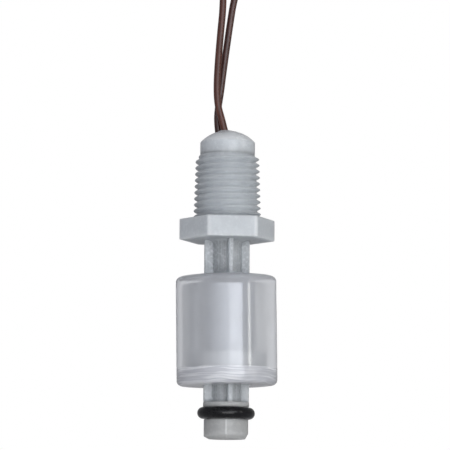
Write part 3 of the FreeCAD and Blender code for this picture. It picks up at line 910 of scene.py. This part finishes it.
    def neck_rows(self) -> list[Row]:
        """Rows up the thread and the collar, over the rim and down the bore to its coned end.

        Returns:
            The rows, in that order.
        """
        flat = np.ones_like(self.columns)
        heights = np.linspace(0.02 * MM, self.thread_length + 0.6 * MM, 176)
        radii = self.thread_radius(heights[:, None])
        rows = [(radius, flat * height) for radius, height in zip(radii, heights)]
        for height in np.linspace(self.thread_length + 0.8 * MM, self.neck_z - 0.15 * MM, 7):
            swell = 0.015 * MM * ripple(self.columns, flat * height, 11)
            rows.append((flat * self.collar_r + swell, flat * height))
        bottom = self.tip_z + self.tip_floor
        rim, cone = 0.03 * MM, 0.64 * MM
        return rows + self.level_rows(
            (self.collar_r, self.neck_z - rim), (self.collar_r - rim, self.neck_z),
            (self.neck_bore_r, self.neck_z), (self.neck_bore_r, self.neck_floor),
            (self.bore_r, self.neck_floor - self.neck_bore_r + self.bore_r),
            (self.bore_r, bottom + cone), (self.bore_r - cone, bottom))

    def build(self) -> bpy.types.Object:
        """Builds the moulding from its rows.

        Returns:
            The closed moulding.
        """
        rows = [*self.tip_rows(), *self.groove_rows(), *self.stem_rows(), *self.hexagon_rows(),
                *self.neck_rows()]
        radius = np.stack([row[0] for row in rows])
        height = np.stack([row[1] for row in rows])
        points = np.stack([radius * np.cos(self.columns), radius * np.sin(self.columns), height], axis=-1)
        piece = grid_mesh("switch_body_moulding", points, pale=self.pale_marks_and_painted_light(radius, height))
        self.ease_thread(piece)
        return piece

    def ease_thread(self, piece: bpy.types.Object) -> None:
        """Evens out the thread's shading, as light that passes through its crests does.

        Each shading normal on the thread is moved a share of the way to the normal of its plain cone.
        Elsewhere a zero keeps the mesh's own normal.

        Args:
            piece: The moulding.
        """
        mesh = piece.data
        count = len(mesh.vertices)
        place, normal = np.zeros(count * 3, np.float32), np.zeros(count * 3, np.float32)
        mesh.vertices.foreach_get("co", place)
        mesh.vertices.foreach_get("normal", normal)
        place, normal = place.reshape(-1, 3), normal.reshape(-1, 3)
        radius = np.hypot(place[:, 0], place[:, 1])
        cone = np.c_[place[:, :2] / np.maximum(radius, 1e-6)[:, None], np.full(count, self.thread_taper)]
        eased = normal * (1.0 - self.thread_ease) + cone * self.thread_ease
        on_thread = (place[:, 2] > 0.15 * MM) & (place[:, 2] < self.thread_length + 0.9 * MM)
        on_thread &= radius > self.neck_bore_r + 0.5 * MM
        eased *= on_thread[:, None] / np.linalg.norm(eased, axis=1)[:, None]
        mesh.normals_split_custom_set_from_vertices(eased)

    def pale_marks_and_painted_light(self, radius: np.ndarray, height: np.ndarray) -> np.ndarray:
        """Where the moulding looks paler: the hexagon and its corners, the tip's parting line and the rim.

        On the thread the marks are painted light and shade: its crests get painted shade and its roots
        painted light, which even out the shading of the thread's relief.

        Args:
            radius: Radius of every point.
            height: Its height.

        Returns:
            Shares from 0 to 1, below 0 on the thread's crests, where shade is painted.
        """
        corner = self.hex_flats / math.sqrt(3.0)
        hexagon = np.where(radius > 0.49 * self.hex_flats, 0.1, 0.0)
        hexagon = hexagon + 0.2 * smooth_step(0.975 * corner, 0.99 * corner, radius)
        tip = smooth_step(self.tip_r + 0.02 * MM, self.tip_r + 0.06 * MM, radius) * (height < self.tip_z
                                                                                     + self.tip_length)
        rim = smooth_step(self.neck_z - 0.25 * MM, self.neck_z - 0.05 * MM, height)
        on_thread = smooth_step(0.05 * MM, 0.6 * MM, height) * smooth_step(
            self.thread_length + 0.5 * MM, self.thread_length - 0.3 * MM, height)
        crest = self.thread_base_r - height * self.thread_taper
        root = np.clip((crest - radius) / self.thread_depth, 0.0, 1.0)
        # Painted light and shade on the thread: paler roots and darker crests even out its relief's shading.
        painted_thread_light = on_thread * (radius > self.neck_bore_r + 0.5 * MM) * (0.55 * root - 0.52)
        return np.clip(hexagon + 0.25 * tip + 0.12 * rim + painted_thread_light, -1.0, 1.0)


# --- Potting ----------------------------------------------------------------------------------------
@dataclass
class PottingDome:
    """Uneven skin of the resin, drawn up a little round both leads, and its film over the neck's rim."""

    rim_r: float = 4.15 * MM
    skin: float = 0.02 * MM
    climb: float = 0.14 * MM
    climb_width: float = 0.25 * MM
    film: float = 0.03 * MM
    reach: float = 2.0 * MM

    def build(self, exits: list[Vector], wire_r: float) -> bpy.types.Object:
        """Builds the skin.

        The top is the cap of a sphere through the rim and the top of the CAD dome, plus gentle ripples
        and a collar round each lead that falls off exponentially with distance from its insulation. From
        there a thin film runs over the rim and down its outside, to an uneven lower edge.

        Args:
            exits: Where the leads leave the resin.
            wire_r: The leads' radius.

        Returns:
            The closed skin.
        """
        rim_z, top_z = high("switch_body").z, high("potting_fill").z
        rise = top_z - rim_z
        ball = (self.rim_r ** 2 + rise ** 2) / (2.0 * rise)
        angles = even_angles(96)
        share = np.sin(np.linspace(0.02, math.pi / 2.0, 44))[:, None]
        radius = self.rim_r * share
        x, y = radius * np.cos(angles), radius * np.sin(angles)
        height = rim_z + np.sqrt(ball ** 2 - radius ** 2) - (ball - rise)
        edge = 1.0 - share ** 6
        lumps = 0.02 * MM * ripple(angles[None, :], radius * 0.7, 21)
        height = height + (self.skin + lumps) * edge
        for place in exits:
            away = np.hypot(x - place.x, y - place.y) - wire_r
            height = height + self.climb * np.exp(-np.maximum(away, 0.0) / self.climb_width)
        top = np.stack([x, y, np.minimum(height, rim_z + rise + 0.3 * MM)], axis=-1)
        down = np.linspace(0.0, 1.0, 16)[:, None]
        depth = 0.1 * MM + down * self.reach * (1.0 + 0.05 * ripple(angles, angles * 0.0, 22, 8))
        thick = self.film * (1.0 + 0.5 * ripple(angles, depth * 2.0, 23, 9)) * np.sqrt(1.0 - down)
        film = np.stack([(self.rim_r + thick) * np.cos(angles), (self.rim_r + thick) * np.sin(angles),
                         rim_z - depth], axis=-1)
        under = film[-1:] * (0.6, 0.6, 1.0)
        # Painted light: the dome is paler than the moulding, most of all over its top.
        painted_top_light = smooth_step(rim_z - 0.3 * MM, rim_z + 0.3 * MM, top[..., 2])
        pale = np.concatenate([0.1 + 0.35 * painted_top_light, np.full(film.shape[:2], 0.02), np.zeros((1, len(angles)))])
        return grid_mesh("potting_dome", np.concatenate([top, film, under]), sharp_deg=80.0, pale=pale)


# --- Float ------------------------------------------------------------------------------------------
class Layer(Enum):
    """Material numbers of the float's faces. The liner has one for each step of its clearness, and the steps
    paint shade towards -X.
    """

    WALL = 0
    TUBE = 1
    WELD = 2
    LINER = 3


@dataclass
class Float:
    """Hollow float: a shell with its inner tube, and the cap that was welded on while it turned."""

    bore_r: float = 3.695 * MM
    tube_r: float = 4.445 * MM
    cavity_r: float = 6.395 * MM
    outer_r: float = 7.62 * MM
    end: float = 1.1 * MM
    edge: float = 0.75 * MM
    spigot: float = 0.8 * MM
    spigot_wall: float = 0.35 * MM
    weld_z: float = -22.7 * MM
    painted_shade_steps: tuple[float, float] = (3.8 * MM, 4.6 * MM)
    lean_deg: float = 0.9
    spare: float = 0.1 * MM
    columns: int = 160

    def __post_init__(self) -> None:
        """Reads the float's ends from the frame, and keeps them short of its stops while it leans."""
        self.top = high("float_shell").z - self.spare
        self.bottom = low("float_cap").z + self.spare
        self.seam = self.bottom + self.end

    def leaned(self, points: np.ndarray) -> np.ndarray:
        """Leans the float's points on the stem, as its play lets it."""
        centre = Vector((0.0, 0.0, (self.top + self.bottom) / 2.0))
        return tilted(points, centre, -self.lean_deg, PLAY_AXIS_DEG)

    def mark_layers(self, piece: bpy.types.Object, line: np.ndarray) -> None:
        """Gives each face its layer's material.

        The cavity's faces on the inner tube get the tube's, and the other ones the liner's, which is
        less clear towards -X in steps that paint shade there. Outside, those below the weld's upper edge
        get the weld's and the rest the wall's.

        Args:
            piece: A piece turned from the line, row by row.
            line: Its section as (radius, height).
        """
        near = 0.01 * MM
        inside = ((line[:, 0] > self.tube_r - near) & (line[:, 0] < self.cavity_r + near)
                  & (line[:, 1] > self.seam - near) & (line[:, 1] < self.top - self.end + near))
        tube = line[:, 0] < self.tube_r + 0.45 * MM
        weld = line[:, 1] < self.weld_z + near
        inside, tube, weld = ((mask & np.roll(mask, -1))[:, None] for mask in (inside, tube, weld))
        between = even_angles(self.columns) + math.pi / self.columns
        # Painted shade: faces further towards -X get less clear, darker liners.
        painted_shade_step = np.digitize(-line[:, 0, None] * np.cos(between), self.painted_shade_steps)
        layers = np.select([inside & tube, inside, weld],
                           [Layer.TUBE.value, Layer.LINER.value + painted_shade_step, Layer.WELD.value], Layer.WALL.value)
        piece.data.polygons.foreach_set("material_index", layers.ravel().astype(np.int32))

    def shell(self) -> bpy.types.Object:
        """Builds the outer wall, the top and the inner tube as one turned section.

        Returns:
            The closed shell.
        """
        ceiling = self.top - self.end
        line = profile_line([
            (self.bore_r, self.seam), (self.tube_r, self.seam), (self.tube_r, ceiling, 0.4 * MM),
            (self.cavity_r, ceiling, 0.4 * MM), (self.cavity_r, self.seam), (self.outer_r, self.seam),
            (self.outer_r, self.weld_z), (self.outer_r, self.top, self.edge),
            (self.bore_r, self.top, 0.25 * MM),
        ], 0.6 * MM)
        piece = grid_mesh("float_shell_wall", self.leaned(lathe(line, even_angles(self.columns))), True)
        self.mark_layers(piece, line)
        return piece

    def cap(self) -> bpy.types.Object:
        """Builds the cap, its spigots and the low irregular ridges that the weld left.

        Returns:
            The closed cap.
        """
        spigot_z = self.seam + self.spigot
        line = profile_line([
            (self.bore_r, self.bottom, 0.25 * MM), (self.outer_r, self.bottom, self.edge),
            (self.outer_r, self.seam), (self.cavity_r, self.seam), (self.cavity_r, spigot_z),
            (self.cavity_r - self.spigot_wall, spigot_z), (self.cavity_r - self.spigot_wall, self.seam),
            (self.tube_r + self.spigot_wall, self.seam), (self.tube_r + self.spigot_wall, spigot_z),
            (self.tube_r, spigot_z), (self.tube_r, self.seam), (self.bore_r, self.seam),
        ], 0.15 * MM)
        angles = even_angles(self.columns)
        points = lathe(line, angles)
        outside = smooth_step(self.cavity_r, self.outer_r - 0.2 * MM, line[:, 0])[:, None]
        ridges = 0.03 * MM * ripple(angles[None, :], line[:, 1, None] * 6.0, 31, 8) * outside
        points[..., 0] -= np.abs(ridges) * np.cos(angles)
        points[..., 1] -= np.abs(ridges) * np.sin(angles)
        piece = grid_mesh("float_cap_weld", self.leaned(points), True)
        self.mark_layers(piece, line)
        return piece


# --- Stop ring --------------------------------------------------------------------------------------
@dataclass
class StopRing:
    """Rubber ring in the groove, sitting a little askew."""

    section_r: float = 0.875 * MM
    squeeze: float = 0.97
    lean_deg: float = 0.7

    def build(self) -> bpy.types.Object:
        """Builds the ring: a circle slightly flattened across the stem, turned about Z and leaned.

        Returns:
            The closed ring.
        """
        centre = middle("stop_ring")
        middle_r = high("stop_ring").x - self.section_r
        turn = even_angles(48)
        line = np.stack([middle_r + self.section_r * self.squeeze * np.cos(turn),
                         centre.z + self.section_r * np.sin(turn)], axis=-1)
        points = tilted(lathe(line, even_angles(128)), centre, self.lean_deg, PLAY_AXIS_DEG)
        return grid_mesh("stop_ring_rubber", points, True, 180.0)


# --- Leads ------------------------------------------------------------------------------------------
class Side(Enum):
    """Which lead: the one in front or the one behind."""

    FRONT = -1
    REAR = 1


# Points of the free leads from the potting to their hanks. Heights are above the potting's top.
FRONT_LEAD_ROUTE = [
    (-0.00062, -0.00052, 0.00025), (-0.00100, -0.00051, 0.00175), (-0.00160, -0.00045, 0.00375),
    (-0.00178, -0.00039, 0.00655), (-0.00161, -0.00036, 0.01035), (-0.00126, -0.00036, 0.01495),
    (-0.00086, -0.00044, 0.01935), (-0.00095, -0.00058, 0.02365),
]
REAR_LEAD_ROUTE = [
    (-0.00136, 0.00078, 0.00025), (-0.00152, 0.00083, 0.00165), (-0.00141, 0.00081, 0.00365),
    (-0.00103, 0.00074, 0.00605), (-0.00070, 0.00068, 0.00895), (-0.00022, 0.00061, 0.01265),
    (0.00032, 0.00056, 0.01665), (0.00092, 0.00054, 0.02065), (0.00200, 0.00058, 0.02395),
]


@dataclass
class Lead:
    """One insulated lead: its free stretch, its put-away hank and its stripped end."""

    side: Side
    route: list[tuple[float, float, float]]
    diameter: float = LEAD_DIAMETER
    length: float = 305.0 * MM
    centre_x: float = 1.5 * MM
    fold_r: float = 3.2 * MM
    layer: float = 1.1 * MM
    first_y: float = 0.58 * MM
    last_y: float = 4.15 * MM
    sway: float = 0.25 * MM
    inner_turns: float = 3.25
    step_out: float = 0.25
    turns: int = 5
    strands: int = 7
    strand_lay: float = 4.5 * MM
    tail_before: float = 1.2 * MM
    tail_after: float = 0.8 * MM

    def __post_init__(self) -> None:
        """Reads the hank's straight stretch from the frame."""
        stem = "front_lead" if self.side is Side.FRONT else "rear_lead"
        self.name = stem
        outer = high(stem + "_hank").x - self.centre_x
        self.low_z = low(stem + "_hank").z + outer
        self.high_z = high(stem + "_hank").z - outer

    def hank_points(self) -> np.ndarray:
        """Points of the lead folded to and fro in a flat loop.

        One turn is a long loop of two straights and two half circles. The lead climbs away from the
        middle plane by one layer a turn, then steps out by one wire and comes back over itself. A sine
        of one wave a turn keeps the first fold clear of the lead that comes in below it.

        Returns:
            Array of points, in metres.
        """
        arc = np.radians(15.0 + 30.0 * np.arange(6))
        inset = 1.5 * MM
        up = np.array([self.low_z + inset, (self.low_z + self.high_z) / 2.0, self.high_z - inset])
        flat = math.pi * self.fold_r
        straight = self.high_z - self.low_z
        loop = 2.0 * (flat + straight)
        points = []
        for turn in range(self.turns + 1):
            shares = np.concatenate([(up - self.low_z) / loop, (straight + flat * arc / math.pi) / loop,
                                     (straight + flat + up - self.low_z) / loop,
                                     (2.0 * straight + flat + flat * arc / math.pi) / loop])
            at = turn + shares
            radius = self.fold_r + self.layer * smooth_step(self.inner_turns,
                                                            self.inner_turns + self.step_out, at)
            wide = radius / math.cos(math.radians(15.0))
            x = np.concatenate([-radius[0:3], -wide[3:9] * np.cos(arc), radius[9:12],
                                wide[12:18] * np.cos(arc)])
            z = np.concatenate([up, self.high_z + wide[3:9] * np.sin(arc), up[::-1],
                                self.low_z - wide[12:18] * np.sin(arc)])
            inward = self.first_y + self.layer * at - self.sway * np.sin(2.0 * math.pi * at)
            peak = self.inner_turns + self.step_out
            outward = self.last_y - self.layer * (at - peak)
            away = np.where(at < self.inner_turns, inward, np.minimum(self.last_y, outward))
            away = np.where((at >= self.inner_turns) & (at < peak), np.minimum(inward, self.last_y), away)
            points.append(np.stack([self.centre_x - self.side.value * x, self.side.value * away, z], axis=-1))
        everything = np.concatenate(points)
        return everything[:len(everything) - 15]

    def centre_line(self) -> np.ndarray:
        """Points of the whole lead: its free stretch, its hank and its way to the stripped end.

        Returns:
            Array of points, in metres.
        """
        above = np.array([0.0, 0.0, high("potting_fill").z])
        free = np.array(self.route) + above
        end = middle(self.name + "_end")
        start = low(self.name + "_end").z
        tail = np.array([[end.x, end.y, start - self.tail_before], [end.x, end.y, start + self.tail_after]])
        return np.concatenate([free, self.hank_points(), tail])

    def build(self) -> bpy.types.Object:
        """Builds the lead as one smooth spline with a round section.

        Returns:
            The curve object.
        """
        points = self.centre_line()
        curve = bpy.data.curves.new(self.name + "_insulation", "CURVE")
        curve.dimensions = "3D"
        curve.bevel_depth = self.diameter / 2.0
        curve.bevel_resolution = 6
        curve.resolution_u = 10
        curve.use_fill_caps = True
        spline = curve.splines.new("NURBS")
        spline.points.add(len(points) - 1)
        spline.points.foreach_set("co", np.c_[points, np.ones(len(points))].ravel())
        spline.order_u = 3
        spline.use_endpoint_u = True
        lead = bpy.data.objects.new(self.name + "_insulation", curve)
        bpy.context.scene.collection.objects.link(lead)
        return lead

    def stripped_end(self) -> bpy.types.Object:
        """Builds the tinned strands: six wound round one, each a tube along a helix.

        A strand's centre is at radius * (cos, sin) of an angle that grows with height, and its section
        is a circle across Z.

        Returns:
            The bundle as one piece.
        """
        box_low, box_high = low(self.name + "_end"), high(self.name + "_end")
        centre = middle(self.name + "_end")
        reach = (box_high.x - box_low.x) / 2.0
        strand_r = reach / 3.0
        height = np.linspace(box_low.z, box_high.z, 42)
        section = even_angles(10)
        made = []
        for i in range(self.strands):
            offset = 0.0 if i == 0 else 2.0 * strand_r
            turn = 2.0 * math.pi * (height - box_low.z) / self.strand_lay + i * math.pi / 3.0
            x = centre.x + offset * np.cos(turn)
            y = centre.y + offset * np.sin(turn)
            shrink = np.where(height > box_high.z - 0.06 * MM, 0.6, 1.0)
            points = np.stack([x[:, None] + strand_r * shrink[:, None] * np.cos(section),
                               y[:, None] + strand_r * shrink[:, None] * np.sin(section),
                               np.repeat(height[:, None], len(section), axis=1)], axis=-1)
            made.append(grid_mesh("strand", points))
        return joined_piece(self.name + "_strand_bundle", made)


# --- Stage ------------------------------------------------------------------------------------------
@dataclass
class Stage:
    """Camera, lamps, room and floor."""

    azimuth: float = -7.5
    elevation: float = -7.0
    distance: float = 400.0 * MM
    lens: float = 210.4
    roll: float = 0.35
    aim: tuple[float, float, float] = (-0.33 * MM, 0.0, -0.8 * MM)
    floor_z: float = -140.0 * MM

    def direction(self, azimuth: float, elevation: float) -> Vector:
        """Unit vector from the object towards a place.

        Args:
            azimuth: Its direction in degrees, 0 at -Y and growing towards +X.
            elevation: Its height above the horizon, in degrees.

        Returns:
            The vector.
        """
        a, e = math.radians(azimuth), math.radians(elevation)
        return Vector((math.sin(a) * math.cos(e), -math.cos(a) * math.cos(e), math.sin(e)))

    def camera(self) -> None:
        """Makes the camera and gives it to the scene."""
        data = bpy.data.cameras.new("camera")
        data.lens, data.sensor_width = self.lens, 36.0
        camera = bpy.data.objects.new("camera", data)
        bpy.context.scene.collection.objects.link(camera)
        back = self.direction(self.azimuth, self.elevation)
        turn = Matrix.Rotation(math.radians(self.roll), 3, "Z").to_quaternion()
        camera.rotation_mode = "QUATERNION"
        camera.location = Vector(self.aim) + back * self.distance
        camera.rotation_quaternion = (-back).to_track_quat("-Z", "Y") @ turn
        bpy.context.scene.camera = camera

    def lamp(self, name: str, azimuth: float, elevation: float, distance: float, size: tuple[float, float],
             power: float) -> None:
        """Adds a rectangular lamp that faces the object.

        Args:
            name: The lamp's name.
            azimuth: Where it stands, in degrees, with 0 at -Y.
            elevation: Its height above the horizon, in degrees.
            distance: Its distance from the object.
            size: Its width and height.
            power: Its power in watts.
        """
        data = bpy.data.lights.new(name, "AREA")
        data.shape, data.size, data.size_y = "RECTANGLE", size[0], size[1]
        data.energy = power
        lamp = bpy.data.objects.new(name, data)
        bpy.context.scene.collection.objects.link(lamp)
        back = self.direction(azimuth, elevation)
        lamp.rotation_mode = "QUATERNION"
        lamp.location = back * distance + Vector((0.0, 0.0, -5.0 * MM))
        lamp.rotation_quaternion = back.to_track_quat("Z", "Y")

    def room(self) -> None:
        """Sets the world: white where it is seen, and behind the object; a dim grey room elsewhere."""
        world = bpy.data.worlds.new("room")
        bpy.context.scene.world = world
        world.use_nodes = True
        graph = Graph(world.node_tree)
        background = world.node_tree.nodes["Background"]
        place = graph.add("ShaderNodeTexCoord")
        split = graph.add("ShaderNodeSeparateXYZ", {0: place.outputs["Generated"]})
        side = graph.ramp(split.outputs[0], -0.9, 0.9)
        room = graph.mix(side, (0.33, 0.33, 0.355, 1.0), (0.31, 0.31, 0.31, 1.0))
        azimuth = graph.math("ARCTAN2", split.outputs[0], graph.math("MULTIPLY", split.outputs[1], -1.0))
        azimuth = graph.math("MULTIPLY", azimuth, 180.0 / math.pi)
        window = graph.math("MULTIPLY", graph.ramp(azimuth, -70.0, 26.0), graph.ramp(azimuth, 38.0, 35.0))
        strip = graph.math("MULTIPLY", graph.ramp(azimuth, 53.0, 54.5), graph.ramp(azimuth, 60.5, 59.0))
        tall = graph.math("MULTIPLY", graph.ramp(split.outputs[2], -0.3, -0.2),
                          graph.ramp(split.outputs[2], 0.5, 0.3))
        room = graph.mix(graph.math("MULTIPLY", window, tall), room, (2.3, 2.39, 2.55, 1.0))
        room = graph.mix(graph.math("MULTIPLY", strip, tall), room, (4.0, 3.9, 3.6, 1.0))
        path = graph.add("ShaderNodeLightPath")
        behind = graph.math("MULTIPLY", path.outputs["Is Transmission Ray"],
                            graph.ramp(split.outputs[1], 0.35, 0.8))
        through = graph.mix(behind, room, (1.0, 1.0, 1.0, 1.0))
        colour = graph.mix(path.outputs["Is Camera Ray"], through, (1.0, 1.0, 1.0, 1.0))
        graph.feed(background, Color=colour)

    def floor(self) -> None:
        """Makes the plain pale floor, which is clear from below."""
        half = 1.5
        mesh = bpy.data.meshes.new("floor")
        mesh.from_pydata([(-half, -half, self.floor_z), (half, -half, self.floor_z),
                          (half, half, self.floor_z), (-half, half, self.floor_z)], [], [(0, 1, 2, 3)])
        floor = bpy.data.objects.new("floor", mesh)
        bpy.context.scene.collection.objects.link(floor)
        material = bpy.data.materials.new("floor_paper")
        material.use_nodes = True
        graph = Graph(material.node_tree)
        shader = material.node_tree.nodes["Principled BSDF"]
        noise = graph.add("ShaderNodeTexNoise", {"Scale": 40.0})
        tone = graph.mix(graph.ramp(noise.outputs[0], 0.3, 0.7), (0.86, 0.86, 0.86, 1.0),
                         (0.88, 0.88, 0.88, 1.0))
        graph.feed(shader, Base_Color=tone)
        set_plain(shader, Roughness=0.8)
        clear = graph.add("ShaderNodeBsdfTransparent")
        side = graph.add("ShaderNodeNewGeometry")
        mixed = graph.add("ShaderNodeMixShader", {0: side.outputs["Backfacing"], 1: shader.outputs[0],
                                                  2: clear.outputs[0]})
        graph.feed(material.node_tree.nodes["Material Output"], Surface=mixed.outputs[0])
        mesh.materials.append(material)

    def build(self) -> None:
        """Sets up everything that isn't the object."""
        self.camera()
        self.lamp("key", 17.0, 6.0, 0.6, (0.36, 0.3), 0.3)
        self.lamp("fill", 0.0, -21.0, 0.3, (0.24, 0.1), 0.42)
        self.room()
        self.floor()
        bpy.context.scene.view_settings.view_transform = "Standard"


# --- Assembly ---------------------------------------------------------------------------------------
@dataclass
class FloatSwitch:
    """The whole switch: builds each sub-assembly, dresses it and ties it to the frame."""

    groups: Groups

    def place(self, piece: bpy.types.Object, body: Body, slot: str, materials: list[bpy.types.Material],
              *nodes: str) -> bpy.types.Object:
        """Gives a new piece its material, its body and the CAD nodes that it stands for.

        Args:
            piece: The new piece.
            body: What it moves with.
            slot: Not used.
            materials: Its materials, in the order of its faces' material numbers.
            *nodes: The CAD nodes that it replaces.

        Returns:
            The piece.
        """
        for material in materials:
            piece.data.materials.append(material)
        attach(piece, body.value)
        if nodes:
            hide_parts(*nodes)
        LOG.info("%s rides on %s and stands for %s", piece.name, body.value, ", ".join(nodes) or "no node")
        return piece

    def dress(self, node: str, material: bpy.types.Material) -> None:
        """Gives a CAD node that stays as it is its material.

        Args:
            node: The CAD node's name.
            material: Its material.
        """
        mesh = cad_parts[node].data
        mesh.materials.clear()
        mesh.materials.append(material)
        LOG.info("%s keeps its solid and gets %s", node, material.name)

    def body(self) -> None:
        """Body moulding and potting."""
        plastic = MouldedPlastic("natural_moulding", (0.40, 0.425, 0.45),
                                 (0.51, 0.54, 0.56)).build(self.groups)
        resin = MouldedPlastic("potting_resin", (0.44, 0.465, 0.49), (0.56, 0.59, 0.61), roughness=0.22,
                               streaks=0.0).build(self.groups)
        self.place(BodyMoulding().build(), Body.SWITCH, "body_plastic", [plastic], "switch_body")
        exits = [Vector(FRONT_LEAD_ROUTE[0]), Vector(REAR_LEAD_ROUTE[0])]
        self.place(PottingDome().build(exits, LEAD_DIAMETER / 2.0), Body.SWITCH, "potting_resin", [resin])
        self.dress("potting_fill", resin)

    def float(self) -> None:
        """Float shell, cap and magnet."""
        float_piece = Float()
        wall, weld = (
            MilkyPlastic(name, (0.68, 0.695, 0.725), (0.79, 0.80, 0.825), see_through,
                         weld_below=float_piece.weld_z).build(self.groups)
            for name, see_through in (("float_wall", 0.70), ("float_weld", 0.35)))
        # Three liners, from clear to painted shade on the -X side.
        liners = [
            MilkyPlastic(name, (0.84, 0.84, 0.83), (0.92, 0.92, 0.91), see_through, skin=1.0,
                         skin_roughness=0.12, skin_index=3.2, painted_side_shade=(0.52, 0.54, 0.55)).build(self.groups)
            for name, see_through in (("float_liner", 0.88), ("float_liner_half_painted_shade", 0.62),
                                      ("float_liner_painted_shade", 0.35))]
        tube = MilkyPlastic("float_tube", (0.34, 0.38, 0.44), (0.42, 0.46, 0.52), 0.1,
                            skin=0.6).build(self.groups)
        layers = [wall, tube, weld, *liners]
        self.place(float_piece.shell(), Body.FLOAT, "float_plastic", layers, "float_shell")
        self.place(float_piece.cap(), Body.FLOAT, "float_plastic", layers, "float_cap")
        self.dress("float_magnet", GrainedFinish("magnet_coating", (0.70, 0.72, 0.73), (0.78, 0.80, 0.81),
                                                 0.5).build())

    def ring(self) -> None:
        """Stop ring."""
        rubber = GrainedFinish("ring_rubber", (0.004, 0.004, 0.005), (0.010, 0.010, 0.011), 0.2,
                               grain=2500.0, index=1.33).build()
        self.place(StopRing().build(), Body.SWITCH, "ring_rubber", [rubber], "stop_ring")

    def leads(self) -> None:
        """Both leads with their hanks and stripped ends, and the tie."""
        tin = GrainedFinish("tinned_copper", (0.62, 0.62, 0.61), (0.78, 0.78, 0.76), 0.28,
                            metallic=1.0).build()
        front_skin = WireInsulation("front_insulation", (0.050, 0.014, 0.008), (0.105, 0.036, 0.024)).build()
        rear_skin = WireInsulation("rear_insulation", (0.035, 0.011, 0.008), (0.085, 0.034, 0.027),
                                   0.2).build()
        tie = GrainedFinish("tie_nylon", (0.010, 0.010, 0.011), (0.030, 0.030, 0.031), 0.45).build()
        self.dress("lead_tie", tie)
        for side, route, skin in ((Side.FRONT, FRONT_LEAD_ROUTE, front_skin),
                                  (Side.REAR, REAR_LEAD_ROUTE, rear_skin)):
            lead = Lead(side, route)
            name = lead.name
            cord = self.place(lead.build(), Body.SWITCH, "lead_insulation", [skin], name, name + "_hank")
            end = self.place(lead.stripped_end(), Body.SWITCH, "tinned_strands", [tin], name + "_end")
            self.dress(name + "_potted", skin)
            self.dress(name + "_strands", tin)

    def inside(self) -> None:
        """Sealed pieces: the reed switch, its joints and their sleeves."""
        glass = GrainedFinish("reed_glass", (0.80, 0.92, 0.86), (0.84, 0.95, 0.90), 0.03, grain=300.0,
                              relief=0.002 * MM, see_through=1.0, index=1.52).build()
        metal = GrainedFinish("reed_metal", (0.62, 0.59, 0.52), (0.72, 0.69, 0.62), 0.25,
                              metallic=1.0).build()
        solder = GrainedFinish("solder", (0.60, 0.61, 0.62), (0.74, 0.75, 0.76), 0.22, metallic=1.0).build()
        sleeve = GrainedFinish("shrink_sleeve", (0.020, 0.020, 0.022), (0.04, 0.04, 0.042), 0.5).build()
        self.dress("reed_glass", glass)
        for end in ("upper", "lower"):
            self.dress("reed_blade_" + end, metal)
            self.dress("joint_solder_" + end, solder)
            self.dress("joint_sleeve_" + end, sleeve)

    def build(self) -> None:
        """Builds and dresses every piece in order."""
        self.leads()
        self.body()
        self.float()
        self.ring()
        self.inside()


def main() -> None:
    """Builds the stage and the switch."""
    logging.basicConfig(level=logging.INFO, format="%(message)s")
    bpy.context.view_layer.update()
    Stage().build()
    FloatSwitch(Groups(cloudy_group(), streak_group(), swirl_group())).build()


if __name__ == "__main__":
    main()
